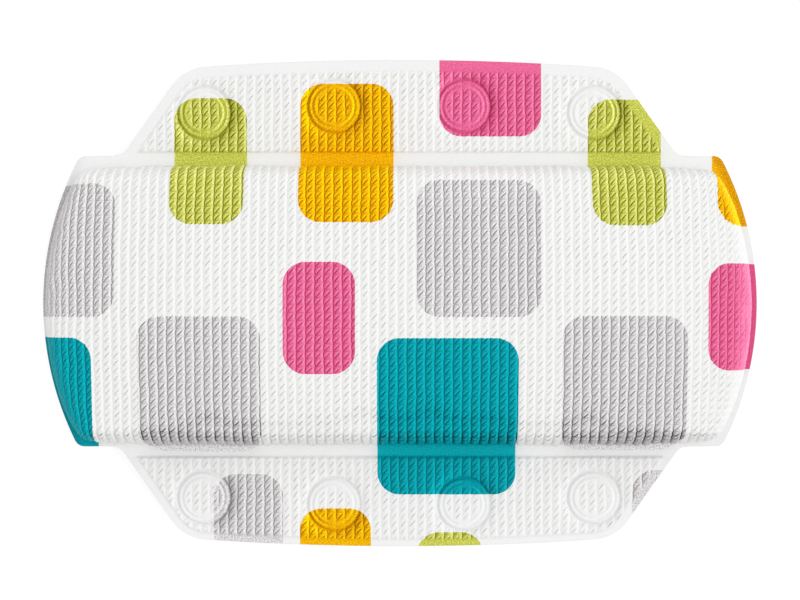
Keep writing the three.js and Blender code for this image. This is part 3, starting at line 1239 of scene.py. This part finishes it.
@dataclass
class BackPanel:
    """The plain film over the back of the foam, flat in the middle where the pillow lies on it."""

    plan: PillowPlan
    cell: float = 1.7
    rim: float = 1.2
    rim_slope: float = 0.5
    rim_rise: float = 0.6
    ripple: float = 0.8
    ripple_along: Sway = Sway(9.0, 2.1, 23.0)
    ripple_across: Sway = Sway(13.0, 1.7, 31.0)
    pucker: float = 0.45
    pucker_start: float = 2.5
    pucker_reach: float = 16.0
    pucker_fade: Pair = (0.3, 1.0)
    pucker_calm: float = 0.25
    folds: Sway = Sway(1.15, 1.3, 3.1)
    fold_groups: Pair = (7.3, 0.8)

    def build(self, material: Material) -> Object:
        """Makes the back.

        Args:
            material: the film's finish.
        Returns:
            The finished piece, closed at the weld.
        """
        plan = self.plan
        columns = round(2 * plan.half_length / self.cell)
        rows = round(2 * plan.pocket_half / self.cell)
        obj, along, across = add_grid("back_panel", columns, rows)
        y = across * (plan.pocket_half + self.rim)
        x = along * (plan.end_reach(y) + self.rim)
        ends, sides = plan.insets(x, y)
        edge = np.minimum(ends, sides)
        full = math.prod(np.sin(np.pi / 2 * np.clip(inset / plan.back_run, 0, 1)) for inset in (ends, sides))
        wave = self.ripple_along.at(x, y) * self.ripple_across.at(y, x)
        along_weld = np.where(sides < ends, x, y)
        pace, shift = self.fold_groups
        folds = self.folds.at(along_weld, along_weld) * np.sin(along_weld / pace + shift)
        near = smooth_step(0, self.pucker_start, edge)
        near *= 1 - smooth_step(*self.pucker_fade, edge / self.pucker_reach)
        level = plan.weld_bottom * (1 - full)
        level += self.ripple * (0.5 + 0.5 * wave) * full * (1 - full) * 4
        level += self.pucker * near * folds * smooth_step(0, self.pucker_calm, full)
        level += np.clip(-self.rim_slope * edge, 0, self.rim_rise)
        write_points(obj, np.column_stack([x + plan.weld_x, y + plan.weld_y, level]))
        obj.data.flip_normals()
        modify(obj, "SUBSURF", levels=1, render_levels=1)
        write_map(obj, PLAN_MAP, read_points(obj))
        cap_open_edge(obj)
        return finish_piece(obj, material)

    def dress(self, material: Material) -> Object:
        """Builds the piece and sets it on the pad.

        Args:
            material: the film's finish.
        Returns:
            The finished piece.
        """
        obj = self.build(material)
        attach(obj, "pad")
        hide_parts("back_cover")
        return obj


@dataclass
class SuctionCups:
    """The clear cups: each a waisted neck that comes out of the flap and flares to a thin sealing rim."""

    plan: PillowPlan
    root: float = 0.8
    collar: float = 5.4
    collar_drop: float = 0.9
    collar_round: float = 0.4
    neck: float = 3.4
    neck_flare: Pair = (0.6, 0.15)
    neck_length: float = 1.2
    bend_length: float = 3.5
    flare_curve: float = 1.55
    hollow_depth: float = 4.8
    hollow_curve: float = 1.3
    rim: float = 1.5
    rim_thickness: float = 0.7
    rim_round: Pair = (0.15, 0.35)
    rim_land: float = 0.3
    curve_steps: int = 18
    steps: int = 56

    def profile(self) -> Array:
        """The cup's half section, from the axis at the root round the outside and back up the hollow.

        Returns:
            Radius and height of each point.
        """
        radius = self.plan.cup_radius
        inner = radius - self.rim
        root = self.plan.weld_bottom + self.root
        foot = self.plan.weld_bottom - self.collar_drop
        fall = foot - self.neck_length - self.rim_thickness
        turn = np.linspace(0, 1, self.curve_steps)
        collar = [
            (0.0, root),
            (self.collar, root),
            (self.collar, foot + self.collar_round),
            (self.collar - self.collar_round, foot),
            (self.neck + self.neck_flare[0], foot - self.neck_flare[1]),
        ]
        out = self.neck + (radius - self.neck) * turn
        flare = np.column_stack([out, self.rim_thickness + fall * (1 - turn) ** self.flare_curve])
        swollen, level = self.rim_round
        sealing = [(radius + swollen, level), (radius, 0.0), (inner + self.rim_land, 0.0)]
        rise = self.hollow_depth * np.sin(np.pi / 2 * turn) ** self.hollow_curve
        return np.concatenate([collar, flare, sealing, np.column_stack([inner * (1 - turn), rise])])

    def model(self) -> Object:
        """Models one cup over the middle of the frame: a point drawn along the half section, then spun.

        Returns:
            The cup, without its finish.
        """
        outline = self.profile() * MM
        bpy.ops.object.select_all(action="DESELECT")
        bpy.ops.mesh.primitive_plane_add(size=MM)
        bpy.ops.object.mode_set(mode="EDIT")
        bpy.ops.mesh.select_mode(type="VERT")
        bpy.ops.mesh.select_all(action="SELECT")
        bpy.ops.mesh.merge(type="CENTER")
        bpy.ops.transform.translate(value=(outline[0, 0], 0, outline[0, 1]))
        for out, up in np.diff(outline, axis=0):
            bpy.ops.mesh.extrude_region_move(TRANSFORM_OT_translate={"value": (out, 0, up)})
        bpy.ops.mesh.select_all(action="SELECT")
        bpy.ops.mesh.spin(steps=self.steps, angle=math.tau, center=(0, 0, 0), axis=(0, 0, 1))
        bpy.ops.mesh.select_all(action="SELECT")
        bpy.ops.mesh.remove_doubles(threshold=SAME_PLACE)
        bpy.ops.mesh.normals_make_consistent(inside=False)
        bpy.ops.object.mode_set(mode="OBJECT")
        return bpy.context.object

    def dress(self, cup: Object, side: Side, material: Material) -> list[Object]:
        """Copies the modelled cup to a flap's rings.

        Args:
            cup: the modelled cup.
            side: the flap that carries the copies.
            material: the cups' finish.
        Returns:
            The finished pieces, from the left.
        """
        word = side.word
        pieces = []
        for number, (x, y) in enumerate(self.plan.cups[side], 1):
            activate(cup)
            bpy.ops.object.duplicate()
            obj = bpy.context.object
            obj.name = f"{word}_cup_{number}"
            write_points(obj, read_points(obj) + (x, y, 0))
            finish_piece(obj, material)
            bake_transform(obj)
            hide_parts(f"{word}_cup_head_{number}", f"{word}_cup_bell_{number}")
            pieces.append(obj)
        return pieces


class Ink(Enum):
    """The printed colours, each with how strongly the stitches' painted shade and light, and the mottle, show
    on it.
    """

    GREY = ("D8D5D6", 1.0)
    PINK = ("E96A99", 0.7)
    ORANGE = ("F3B600", 1.1)
    LIME = ("C9CC59", 1.2)
    TEAL = ("009FAB", 0.55)


@dataclass(frozen=True)
class PrintBlock:
    """One printed rounded block, by its edges in plan."""

    ink: Ink
    left: float
    right: float
    bottom: float
    top: float
    corner: float = 10.2

    @property
    def centre(self) -> Triple:
        """The middle of the block."""
        return ((self.left + self.right) / 2, (self.bottom + self.top) / 2, 0.0)

    @property
    def core(self) -> Triple:
        """Half the block's size, less its rounded corners."""
        half_width, half_height = (self.right - self.left) / 2, (self.top - self.bottom) / 2
        return (half_width - self.corner, half_height - self.corner, 1.0)


# A block that runs off the sheet is drawn this far past its edge.
OFF = 190.0

PRINT = (
    PrintBlock(Ink.LIME, -104.2, -70.7, 35.5, 94.5),
    PrintBlock(Ink.ORANGE, -46.0, -3.0, 36.4, 101.2),
    PrintBlock(Ink.PINK, 18.2, 65.2, 76.9, OFF),
    PrintBlock(Ink.LIME, 86.8, 120.5, 35.0, 94.0),
    PrintBlock(Ink.ORANGE, 144.2, OFF, 35.4, OFF),
    PrintBlock(Ink.GREY, 7.6, 63.3, -6.2, 55.7),
    PrintBlock(Ink.GREY, -OFF, -128.6, -6.2, 54.2),
    PrintBlock(Ink.PINK, -52.6, -20.2, -31.9, 18.5),
    PrintBlock(Ink.PINK, 138.8, OFF, -30.5, 18.0),
    PrintBlock(Ink.GREY, -118.4, -62.8, -68.6, -6.0),
    PrintBlock(Ink.GREY, 72.8, 129.4, -67.9, -5.8),
    PrintBlock(Ink.TEAL, -10.4, 53.3, -88.3, -15.7),
    PrintBlock(Ink.TEAL, -OFF, -139.2, -OFF, -15.6),
    PrintBlock(Ink.GREY, -85.8, -54.1, -OFF, -79.0),
    PrintBlock(Ink.ORANGE, -46.2, -13.4, -OFF, -94.8),
    PrintBlock(Ink.LIME, 7.9, 38.4, -OFF, -105.8),
    PrintBlock(Ink.GREY, 107.2, OFF, -OFF, -77.2),
)


@dataclass(frozen=True)
class PrintedVinyl:
    """Foamed PVC sheet, pressed with a knit and printed: soft satin, with painted shade in the grooves and
    painted light on the flanks.
    """

    emboss: KnitEmboss
    name: str = "embossed_foamed_pvc"
    white: str = "F1F1F0"
    welded_white: str = "EFEFEF"
    ior: float = 1.5
    specular: float = 0.05
    roughness: float = 0.46
    roughness_spread: Pair = (-0.06, 0.08)
    grain: float = 0.65
    grain_depth: float = 0.09
    grain_range: Pair = (0.3, 0.7)
    speck_range: Pair = (0.36, 0.64)
    ink_mottle: float = 0.3
    white_mottle: float = 0.03
    weld_mottle: float = 2.2
    edge_wander: float = 0.25
    edge_wave: float = 2.0
    ink_wrap: float = 0.75
    # The stitch marks: painted shade along the grooves, the seams and the nicks, and painted light on the
    # flanks and on the petals beside the nicks.
    groove_line: float = 0.7
    groove_back: float = 0.3
    groove_shade: float = 1.6
    groove_shade_depth: float = 0.35
    seam_line: float = 0.45
    seam_depth: float = 0.8
    seam_end: Pair = (0.3, 0.6)
    flank: Pair = (0.6, 0.86)
    flank_swell: Pair = (0.35, 1.1)
    nick_line: float = 0.28
    nick_strength: Pair = (0.95, 1.6)
    nick_fade: float = 0.7
    nick_wander: Pair = (0.4, 0.4)
    nick_cut: float = 0.2
    petal: float = 0.75
    petal_light: float = 0.6
    # How far the painted shade deepens and darkens the colour and the painted light makes it paler, on ink and
    # on white.
    ink_deep: float = 0.75
    ink_thin: float = 0.37
    crease_deep: float = 0.3
    white_depth: float = 0.8
    ink_shadow: float = 0.46
    white_shadow: float = 0.02
    ink_crease: float = 0.34
    white_crease: float = 0.06
    ink_gleam: float = 0.1
    darkest: float = 0.12

    def block_mask(self) -> NodeTree:
        """Makes the nodes that find a rounded block.

        Returns:
            A node group that is 1 inside the block and 0 outside.
        """
        tree = bpy.data.node_groups.new("rounded_block", "ShaderNodeTree")
        kinds = {"Place": "Vector", "Centre": "Vector", "Core": "Vector", "Corner": "Float"}
        for name, kind in kinds.items():
            tree.interface.new_socket(name, in_out="INPUT", socket_type=f"NodeSocket{kind}")
        tree.interface.new_socket("Inside", in_out="OUTPUT", socket_type="NodeSocketFloat")
        given = add_node(tree, "NodeGroupInput").outputs
        off = add_node(tree, "VectorMath", (given["Place"], given["Centre"]), operation="SUBTRACT")
        off = add_node(tree, "VectorMath", (off,), operation="ABSOLUTE")
        past = add_node(tree, "VectorMath", (off, given["Core"]), operation="SUBTRACT")
        past = add_node(tree, "VectorMath", (past, (0, 0, 0)), operation="MAXIMUM")
        past = add_node(tree, "VectorMath", (past,), operation="LENGTH")
        inside = add_node(tree, "Math", (past, given["Corner"]), operation="LESS_THAN")
        add_node(tree, "NodeGroupOutput", {"Inside": inside})
        return tree

    def nick_lines(self, tree: NodeTree, place: Node, chance: Node) -> list[Node]:
        """Draws the slanting nick of each stitch and the soft petal of light beside it.

        Args:
            tree: the nodes of the stitch marks.
            place: the place in the stitch, in millimetres.
            chance: the stitch's own random numbers.
        Returns:
            How strong the nick is and how strong the petal is.
        """
        least = tuple(at - wander / 2 for at, wander in zip(self.emboss.nick_middle, self.nick_wander))
        spread = (chance.outputs["Color"], (*self.nick_wander, 0), (*least, 0))
        middle = add_node(tree, "VectorMath", spread, operation="MULTIPLY_ADD")
        off = add_node(tree, "VectorMath", (place, middle), operation="SUBTRACT")
        run = Vector(self.emboss.nick_run)
        reach = run.length
        run /= reach
        along = add_node(tree, "VectorMath", (off, (run.x, run.y, 0)), operation="DOT_PRODUCT")
        along = add_node(tree, "Math", (along,), operation="ABSOLUTE")
        across = add_node(tree, "VectorMath", (off, (-run.y, run.x, 0)), operation="DOT_PRODUCT")
        window = add_node(tree, "MapRange", (along, self.nick_fade * reach, reach, 1.0, 0.0), **SOFT)
        strong = add_node(tree, "MapRange", (chance.outputs["Value"], 0.0, 1.0, *self.nick_strength))
        strong = add_node(tree, "Math", (window, strong), operation="MULTIPLY")
        lines = []
        for shift, half, level, share in (
            (0.0, self.nick_line, 1.0, strong),
            (self.petal, self.petal, self.petal_light, window),
        ):
            aside = add_node(tree, "Math", (across, shift), operation="SUBTRACT")
            aside = add_node(tree, "Math", (aside,), operation="ABSOLUTE")
            line = add_node(tree, "MapRange", (aside, 0.0, half, level, 0.0), **SOFT)
            lines.append(add_node(tree, "Math", (line, share), operation="MULTIPLY"))
        return lines

    def stitch_marks(self) -> NodeTree:
        """Makes the nodes that find the marks of the stitches.

        Returns:
            A node group that gives the painted shade of the grooves, seams and nicks, the painted light of the
            flanks and petals, and the nicks alone.
        """
        emboss = self.emboss
        tree = bpy.data.node_groups.new("stitch_marks", "ShaderNodeTree")
        tree.interface.new_socket("Sheet", in_out="INPUT", socket_type="NodeSocketVector")
        for name in ("Dark", "Bright", "Nick"):
            tree.interface.new_socket(name, in_out="OUTPUT", socket_type="NodeSocketFloat")
        sheet = add_node(tree, "NodeGroupInput").outputs["Sheet"]
        cells = (1 / (emboss.column * MM), 1 / (emboss.row * MM), 0)
        cell = add_node(tree, "VectorMath", (sheet, cells), operation="MULTIPLY")
        wave = add_node(tree, "SeparateXYZ", (cell,)).outputs["Y"]
        wave = add_node(tree, "Math", (wave, math.pi), operation="MULTIPLY")
        wave = add_node(tree, "Math", (wave,), operation="SINE")
        wave = add_node(tree, "Math", (wave,), operation="ABSOLUTE")
        sway = add_node(tree, "Math", (wave, emboss.scallop / emboss.column), operation="MULTIPLY")
        sway = add_node(tree, "CombineXYZ", (sway,))
        cell = add_node(tree, "VectorMath", (cell, sway), operation="ADD")
        which = add_node(tree, "VectorMath", (cell,), operation="FLOOR")
        chance = add_node(tree, "TexWhiteNoise", {"Vector": which}, noise_dimensions="3D")
        share = add_node(tree, "VectorMath", (cell,), operation="FRACTION")
        size = (emboss.column, emboss.row, 0)
        place = add_node(tree, "VectorMath", (share, size), operation="MULTIPLY")
        nick, petal = self.nick_lines(tree, place, chance)
        split = add_node(tree, "SeparateXYZ", (place,)).outputs
        right = split["X"]
        column = emboss.column
        front = add_node(tree, "MapRange", (right, 0.0, self.groove_line, 1.0, 0.0), **SOFT)
        back = add_node(tree, "MapRange", (right, column - self.groove_back, column, 0.0, 1.0), **SOFT)
        shade = add_node(tree, "MapRange", (right, 0.0, self.groove_shade, self.groove_shade_depth, 0.0))
        seam = add_node(tree, "MapRange", (split["Y"], 0.0, self.seam_line, self.seam_depth, 0.0), **SOFT)
        short = add_node(tree, "MapRange", (right, *(column * end for end in self.seam_end), 1.0, 0.0))
        seam = add_node(tree, "Math", (seam, short), operation="MULTIPLY")
        dark = nick
        for mark in (front, back, shade, seam):
            dark = add_node(tree, "Math", (dark, mark), operation="MAXIMUM")
        bright = add_node(tree, "MapRange", (right, *(column * end for end in self.flank), 0.0, 1.0), **SOFT)
        bright = add_node(tree, "Math", (bright, back), operation="SUBTRACT")
        swell = add_node(tree, "MapRange", (wave, 0.0, 1.0, *self.flank_swell))
        bright = add_node(tree, "Math", (bright, swell), operation="MULTIPLY")
        bright = add_node(tree, "Math", (bright, petal), operation="MAXIMUM")
        add_node(tree, "NodeGroupOutput", {"Dark": dark, "Bright": bright, "Nick": nick})
        return tree

    def print_place(self, tree: NodeTree) -> Node:
        """Moves the place in plan a little, so that the blocks' edges wander.

        Args:
            tree: the material's nodes.
        Returns:
            The place, in millimetres.
        """
        place = place_in_plan(tree)
        wander = add_node(tree, "TexNoise", {"Vector": place, "Scale": 1 / self.edge_wave, "Detail": 1.0})
        shift = (wander.outputs["Color"], (0.5, 0.5, 0.5))
        shift = add_node(tree, "VectorMath", shift, operation="SUBTRACT")
        size = (self.edge_wander, self.edge_wander, 0)
        shift = add_node(tree, "VectorMath", (shift, size), operation="MULTIPLY")
        return add_node(tree, "VectorMath", (place, shift), operation="ADD")

    def print_colour(self, tree: NodeTree, place: Node, knit: Socket) -> tuple[Node, Node]:
        """Prints the blocks on the white sheet.

        Args:
            tree: the material's nodes.
            place: the place in plan, in millimetres.
            knit: how strong the knit is, which is nothing on a weld.
        Returns:
            The colour, and how strongly the painted shade and light and the mottle show on the ink, which is
            nothing where there is no ink.
        """
        group = self.block_mask()
        white = {0: knit, 6: linear(self.welded_white), 7: linear(self.white)}
        white = add_node(tree, "Mix", white, data_type="RGBA")
        colour = white
        inked = 0.0
        for block in PRINT:
            # The ink's second number sets how strongly the painted shade and light of the stitches, and the
            # mottle, show on it.
            shade, depth = block.ink.value
            edges = {"Place": place, "Centre": block.centre, "Core": block.core, "Corner": block.corner}
            inside = add_node(tree, "Group", edges, node_tree=group)
            colour = add_node(tree, "Mix", {0: inside, 6: colour, 7: linear(shade)}, data_type="RGBA")
            depth = add_node(tree, "Math", (inside, depth), operation="MULTIPLY")
            inked = add_node(tree, "Math", (depth, inked), operation="MAXIMUM")
        # The cut edge of the sheet is white under a thin line of ink.
        printed = add_node(tree, "Attribute", attribute_name=PRINTED).outputs["Fac"]
        face = add_node(tree, "Math", (printed, self.ink_wrap), operation="GREATER_THAN")
        colour = add_node(tree, "Mix", {0: face, 6: white, 7: colour}, data_type="RGBA")
        return colour, add_node(tree, "Math", (inked, face), operation="MULTIPLY")

    def material(self) -> Material:
        """Builds the finish.

        Returns:
            The material.
        """
        material, tree = start_material(self.name)
        knit, crease = (
            add_node(tree, "Attribute", attribute_name=name).outputs["Fac"] for name in (KNIT, PAINTED_SHADE)
        )
        place = self.print_place(tree)
        colour, inked = self.print_colour(tree, place, knit)
        sheet = add_node(tree, "UVMap", uv_map=SHEET_MAP)
        marks = add_node(tree, "Group", {"Sheet": sheet}, node_tree=self.stitch_marks())
        dark, bright, nick = (
            add_node(tree, "Math", (mark, knit), operation="MULTIPLY") for mark in marks.outputs
        )
        # Painted shade deepens the colour in the grooves, the nicks and the painted creases, and painted light
        # makes it paler on the flanks.
        shade_power = 0.0
        for mark, share in ((dark, self.ink_deep), (bright, -self.ink_thin), (crease, self.crease_deep)):
            shade_power = add_node(tree, "Math", (mark, share, shade_power), operation="MULTIPLY_ADD")
        spread = add_node(tree, "Math", (inked, self.white_depth), operation="MAXIMUM")
        shade_power = add_node(tree, "Math", (shade_power, spread, 1.0), operation="MULTIPLY_ADD")
        ink = add_node(tree, "Gamma", {"Color": colour, "Gamma": shade_power})
        # The same marks darken the sheet as painted shade, and the flanks take a painted highlight.
        light = 1.0
        for mark, on_white, on_ink in (
            (dark, self.white_shadow, self.ink_shadow),
            (crease, self.white_crease, self.ink_crease),
        ):
            fall = add_node(tree, "MapRange", (inked, 0.0, 1.0, -on_white, -on_ink), clamp=False)
            light = add_node(tree, "Math", (mark, fall, light), operation="MULTIPLY_ADD")
        gleam = add_node(tree, "Math", (bright, inked), operation="MULTIPLY")
        light = add_node(tree, "Math", (gleam, self.ink_gleam, light), operation="MULTIPLY_ADD")
        light = add_node(tree, "Math", (light, self.darkest), operation="MAXIMUM")
        # A fine speckle, strongest on the welds, where the foam is pressed flat.
        noise = {"Vector": place, "Scale": 1 / self.grain, "Detail": 2.0, "Roughness": 0.6}
        grain = add_node(tree, "TexNoise", noise)
        speck = add_node(tree, "MapRange", (grain, *self.speck_range, -0.5, 0.5))
        amount = add_node(tree, "MapRange", (inked, 0.0, 1.0, self.white_mottle, self.ink_mottle))
        weld = add_node(tree, "MapRange", (knit, 0.0, 0.5, self.weld_mottle, 1.0))
        amount = add_node(tree, "Math", (amount, weld), operation="MULTIPLY")
        speck = add_node(tree, "Math", (speck, amount, 1.0), operation="MULTIPLY_ADD")
        light = add_node(tree, "Math", (light, speck), operation="MULTIPLY")
        shaded = add_node(tree, "VectorMath", {0: ink, "Scale": light}, operation="SCALE")
        shaded = add_node(tree, "VectorMath", (shaded, (1, 1, 1)), operation="MINIMUM")
        gloss = (self.roughness + change for change in self.roughness_spread)
        rough = add_node(tree, "MapRange", (grain, *self.grain_range, *gloss))
        cut = (nick, -self.nick_cut / self.grain_depth, grain)
        cut = add_node(tree, "Math", cut, operation="MULTIPLY_ADD")
        bump = {"Height": cut, "Strength": 1.0, "Distance": self.grain_depth * MM}
        surface = {
            "Base Color": shaded,
            "Roughness": rough,
            "Normal": add_node(tree, "Bump", bump),
            "IOR": self.ior,
            "Specular IOR Level": self.specular,
        }
        add_node(tree, "OutputMaterial", {"Surface": add_node(tree, "BsdfPrincipled", surface)})
        return material


@dataclass(frozen=True)
class PlainFilm:
    """Calendered PVC film: smooth off-white, satin, with a faint grain from the rollers."""

    name: str = "calendered_pvc_film"
    colour: str = "EBEBE8"
    shade: str = "E2E2DF"
    ior: float = 1.53
    roughness: float = 0.36
    roughness_spread: Pair = (-0.05, 0.07)
    cloud: float = 18.0
    cloud_range: Pair = (0.3, 0.7)
    grain: float = 0.7
    grain_depth: float = 0.05

    def material(self) -> Material:
        """Builds the finish.

        Returns:
            The material.
        """
        material, tree = start_material(self.name)
        place = place_in_plan(tree)
        cloud = add_node(tree, "TexNoise", {"Vector": place, "Scale": 1 / self.cloud, "Detail": 3.0})
        tones = {0: cloud, 6: linear(self.colour), 7: linear(self.shade)}
        gloss = (self.roughness + change for change in self.roughness_spread)
        grain = add_node(tree, "TexNoise", {"Vector": place, "Scale": 1 / self.grain, "Detail": 2.0})
        bump = {"Height": grain, "Strength": 1.0, "Distance": self.grain_depth * MM}
        surface = {
            "Base Color": add_node(tree, "Mix", tones, data_type="RGBA"),
            "Roughness": add_node(tree, "MapRange", (cloud, *self.cloud_range, *gloss)),
            "Normal": add_node(tree, "Bump", bump),
            "IOR": self.ior,
        }
        add_node(tree, "OutputMaterial", {"Surface": add_node(tree, "BsdfPrincipled", surface)})
        return material


@dataclass(frozen=True)
class ClearVinyl:
    """Clear moulded soft PVC: a little cloudy, glossy on the outside, cool in the thick parts."""

    name: str = "clear_moulded_pvc"
    colour: str = "E8F1F2"
    clearness: float = 0.92
    ior: float = 1.53
    roughness: float = 0.1
    roughness_spread: Pair = (-0.04, 0.06)
    ripple: float = 6.0
    ripple_range: Pair = (0.3, 0.7)

    def material(self) -> Material:
        """Builds the finish.

        Returns:
            The material.
        """
        material, tree = start_material(self.name)
        place = add_node(tree, "TexCoord").outputs["Object"]
        noise = add_node(tree, "TexNoise", {"Vector": place, "Scale": 1 / (self.ripple * MM), "Detail": 1.0})
        gloss = (self.roughness + change for change in self.roughness_spread)
        surface = {
            "Base Color": linear(self.colour),
            "Roughness": add_node(tree, "MapRange", (noise, *self.ripple_range, *gloss)),
            "Transmission Weight": self.clearness,
            "IOR": self.ior,
        }
        add_node(tree, "OutputMaterial", {"Surface": add_node(tree, "BsdfPrincipled", surface)})
        return material


@dataclass
class Studio:
    """The pale floor, the soft light and the camera over the pillow."""

    plan: PillowPlan
    camera_height: float = 980.0
    camera_y: float = 1.4
    camera_sensor: float = 36.0
    camera_sight: float = 50.0
    picture_width: float = 369.8
    ambient: float = 0.87
    sky_slope: Triple = (0.05, 0.09, 0.0)
    key_strength: float = 0.19
    key_from: Triple = (900.0, 0.0, 2400.0)
    key_size: float = 1500.0
    floor_size: float = 6000.0
    floor_drop: float = 0.2
    floor_glow: float = 0.74
    paper: float = 0.88
    paper_seen: float = 0.34

    def place_camera(self) -> None:
        """Sets the camera straight above, so that the welds' level fills the picture as in the photo."""
        data = bpy.data.cameras.new("photo_camera")
        data.sensor_width = self.camera_sensor
        data.lens = self.camera_sensor * (self.camera_height - self.plan.weld_top) / self.picture_width
        data.clip_end = self.camera_sight
        camera = bpy.data.objects.new("photo_camera", data)
        camera.location = (0, self.camera_y * MM, self.camera_height * MM)
        bpy.context.scene.collection.objects.link(camera)
        bpy.context.scene.camera = camera

    @staticmethod
    def seen_by(tree: NodeTree, *rays: str) -> Node | Socket:
        """Tells the rays that see the background from those that it only lights.

        Args:
            tree: the nodes of the background.
            rays: the rays that see it, besides those of the camera.
        Returns:
            An output that is 1 for the rays that see it and 0 for the others.
        """
        path = add_node(tree, "LightPath").outputs
        seen = path["Is Camera Ray"]
        for ray in rays:
            seen = add_node(tree, "Math", (seen, path[ray]), operation="MAXIMUM")
        return seen

    def light(self) -> None:
        """Lights the pillow with a lamp on the right and a sky that is a little brighter above and right."""
        world = bpy.data.worlds.new("soft_sky")
        bpy.context.scene.world = world
        world.use_nodes = True
        tree = world.node_tree
        tree.nodes.clear()
        seen = self.seen_by(tree, "Is Transmission Ray")
        look = add_node(tree, "TexCoord").outputs["Generated"]
        slope = add_node(tree, "VectorMath", (look, self.sky_slope), operation="DOT_PRODUCT")
        slope = add_node(tree, "Math", (slope, self.ambient, self.ambient), operation="MULTIPLY_ADD")
        level = add_node(tree, "Mix", {0: seen, 2: slope, 3: 1.0}, data_type="FLOAT")
        sky = add_node(tree, "Background", {"Color": (1, 1, 1, 1), "Strength": level})
        add_node(tree, "OutputWorld", (sky,))
        key = bpy.data.lights.new("key_light", "AREA")
        place = Vector(self.key_from) * MM
        key.shape = "DISK"
        key.size = self.key_size * MM
        key.energy = self.key_strength * math.pi**2 * place.length_squared / place.normalized().z
        lamp = bpy.data.objects.new("key_light", key)
        lamp.location = place
        lamp.rotation_euler = (-place).to_track_quat("-Z", "Y").to_euler()
        bpy.context.scene.collection.objects.link(lamp)

    def lay_floor(self) -> None:
        """Lays a white floor that keeps the pillow's shadow."""
        bpy.ops.object.select_all(action="DESELECT")
        bpy.ops.mesh.primitive_plane_add(size=self.floor_size * MM, location=(0, 0, -self.floor_drop * MM))
        floor = bpy.context.object
        floor.name = "studio_floor"
        material, tree = start_material("white_backdrop_paper")
        seen = self.seen_by(tree, "Is Glossy Ray", "Is Transmission Ray")
        tones = {0: seen, 6: (*(self.paper,) * 3, 1), 7: (*(self.paper_seen,) * 3, 1)}
        paper = add_node(tree, "BsdfDiffuse", {"Color": add_node(tree, "Mix", tones, data_type="RGBA")})
        strength = add_node(tree, "Math", (seen, self.floor_glow), operation="MULTIPLY")
        glow = add_node(tree, "Emission", {"Color": (1, 1, 1, 1), "Strength": strength})
        add_node(tree, "OutputMaterial", {"Surface": add_node(tree, "AddShader", (paper, glow))})
        floor.data.materials.append(material)

    def build(self) -> None:
        """Sets up the whole studio."""
        self.place_camera()
        self.light()
        self.lay_floor()
        bpy.context.scene.view_settings.view_transform = "Standard"


def main() -> None:
    """Sets up the studio, then builds the pillow in it piece by piece."""
    logging.basicConfig(level=logging.INFO, format="%(name)s: %(message)s")
    plan = PillowPlan.from_frame()
    Studio(plan).build()
    emboss = KnitEmboss()
    cover = PrintedVinyl(emboss).material()
    film = PlainFilm().material()
    clear = ClearVinyl().material()
    PadCover(plan, emboss).dress(cover)
    BackPanel(plan).dress(film)
    for hand in (1, -1):
        EndMargin(plan, hand).dress(cover, film)
    cups = SuctionCups(plan)
    cup = cups.model()
    for side in Side:
        Flap(plan, side, emboss).dress(cover, film)
        cups.dress(cup, side, clear)
    # Only the copies are pieces of the pillow, so the modelled cup goes.
    activate(cup)
    bpy.ops.object.delete()


if __name__ == "__main__":
    main()
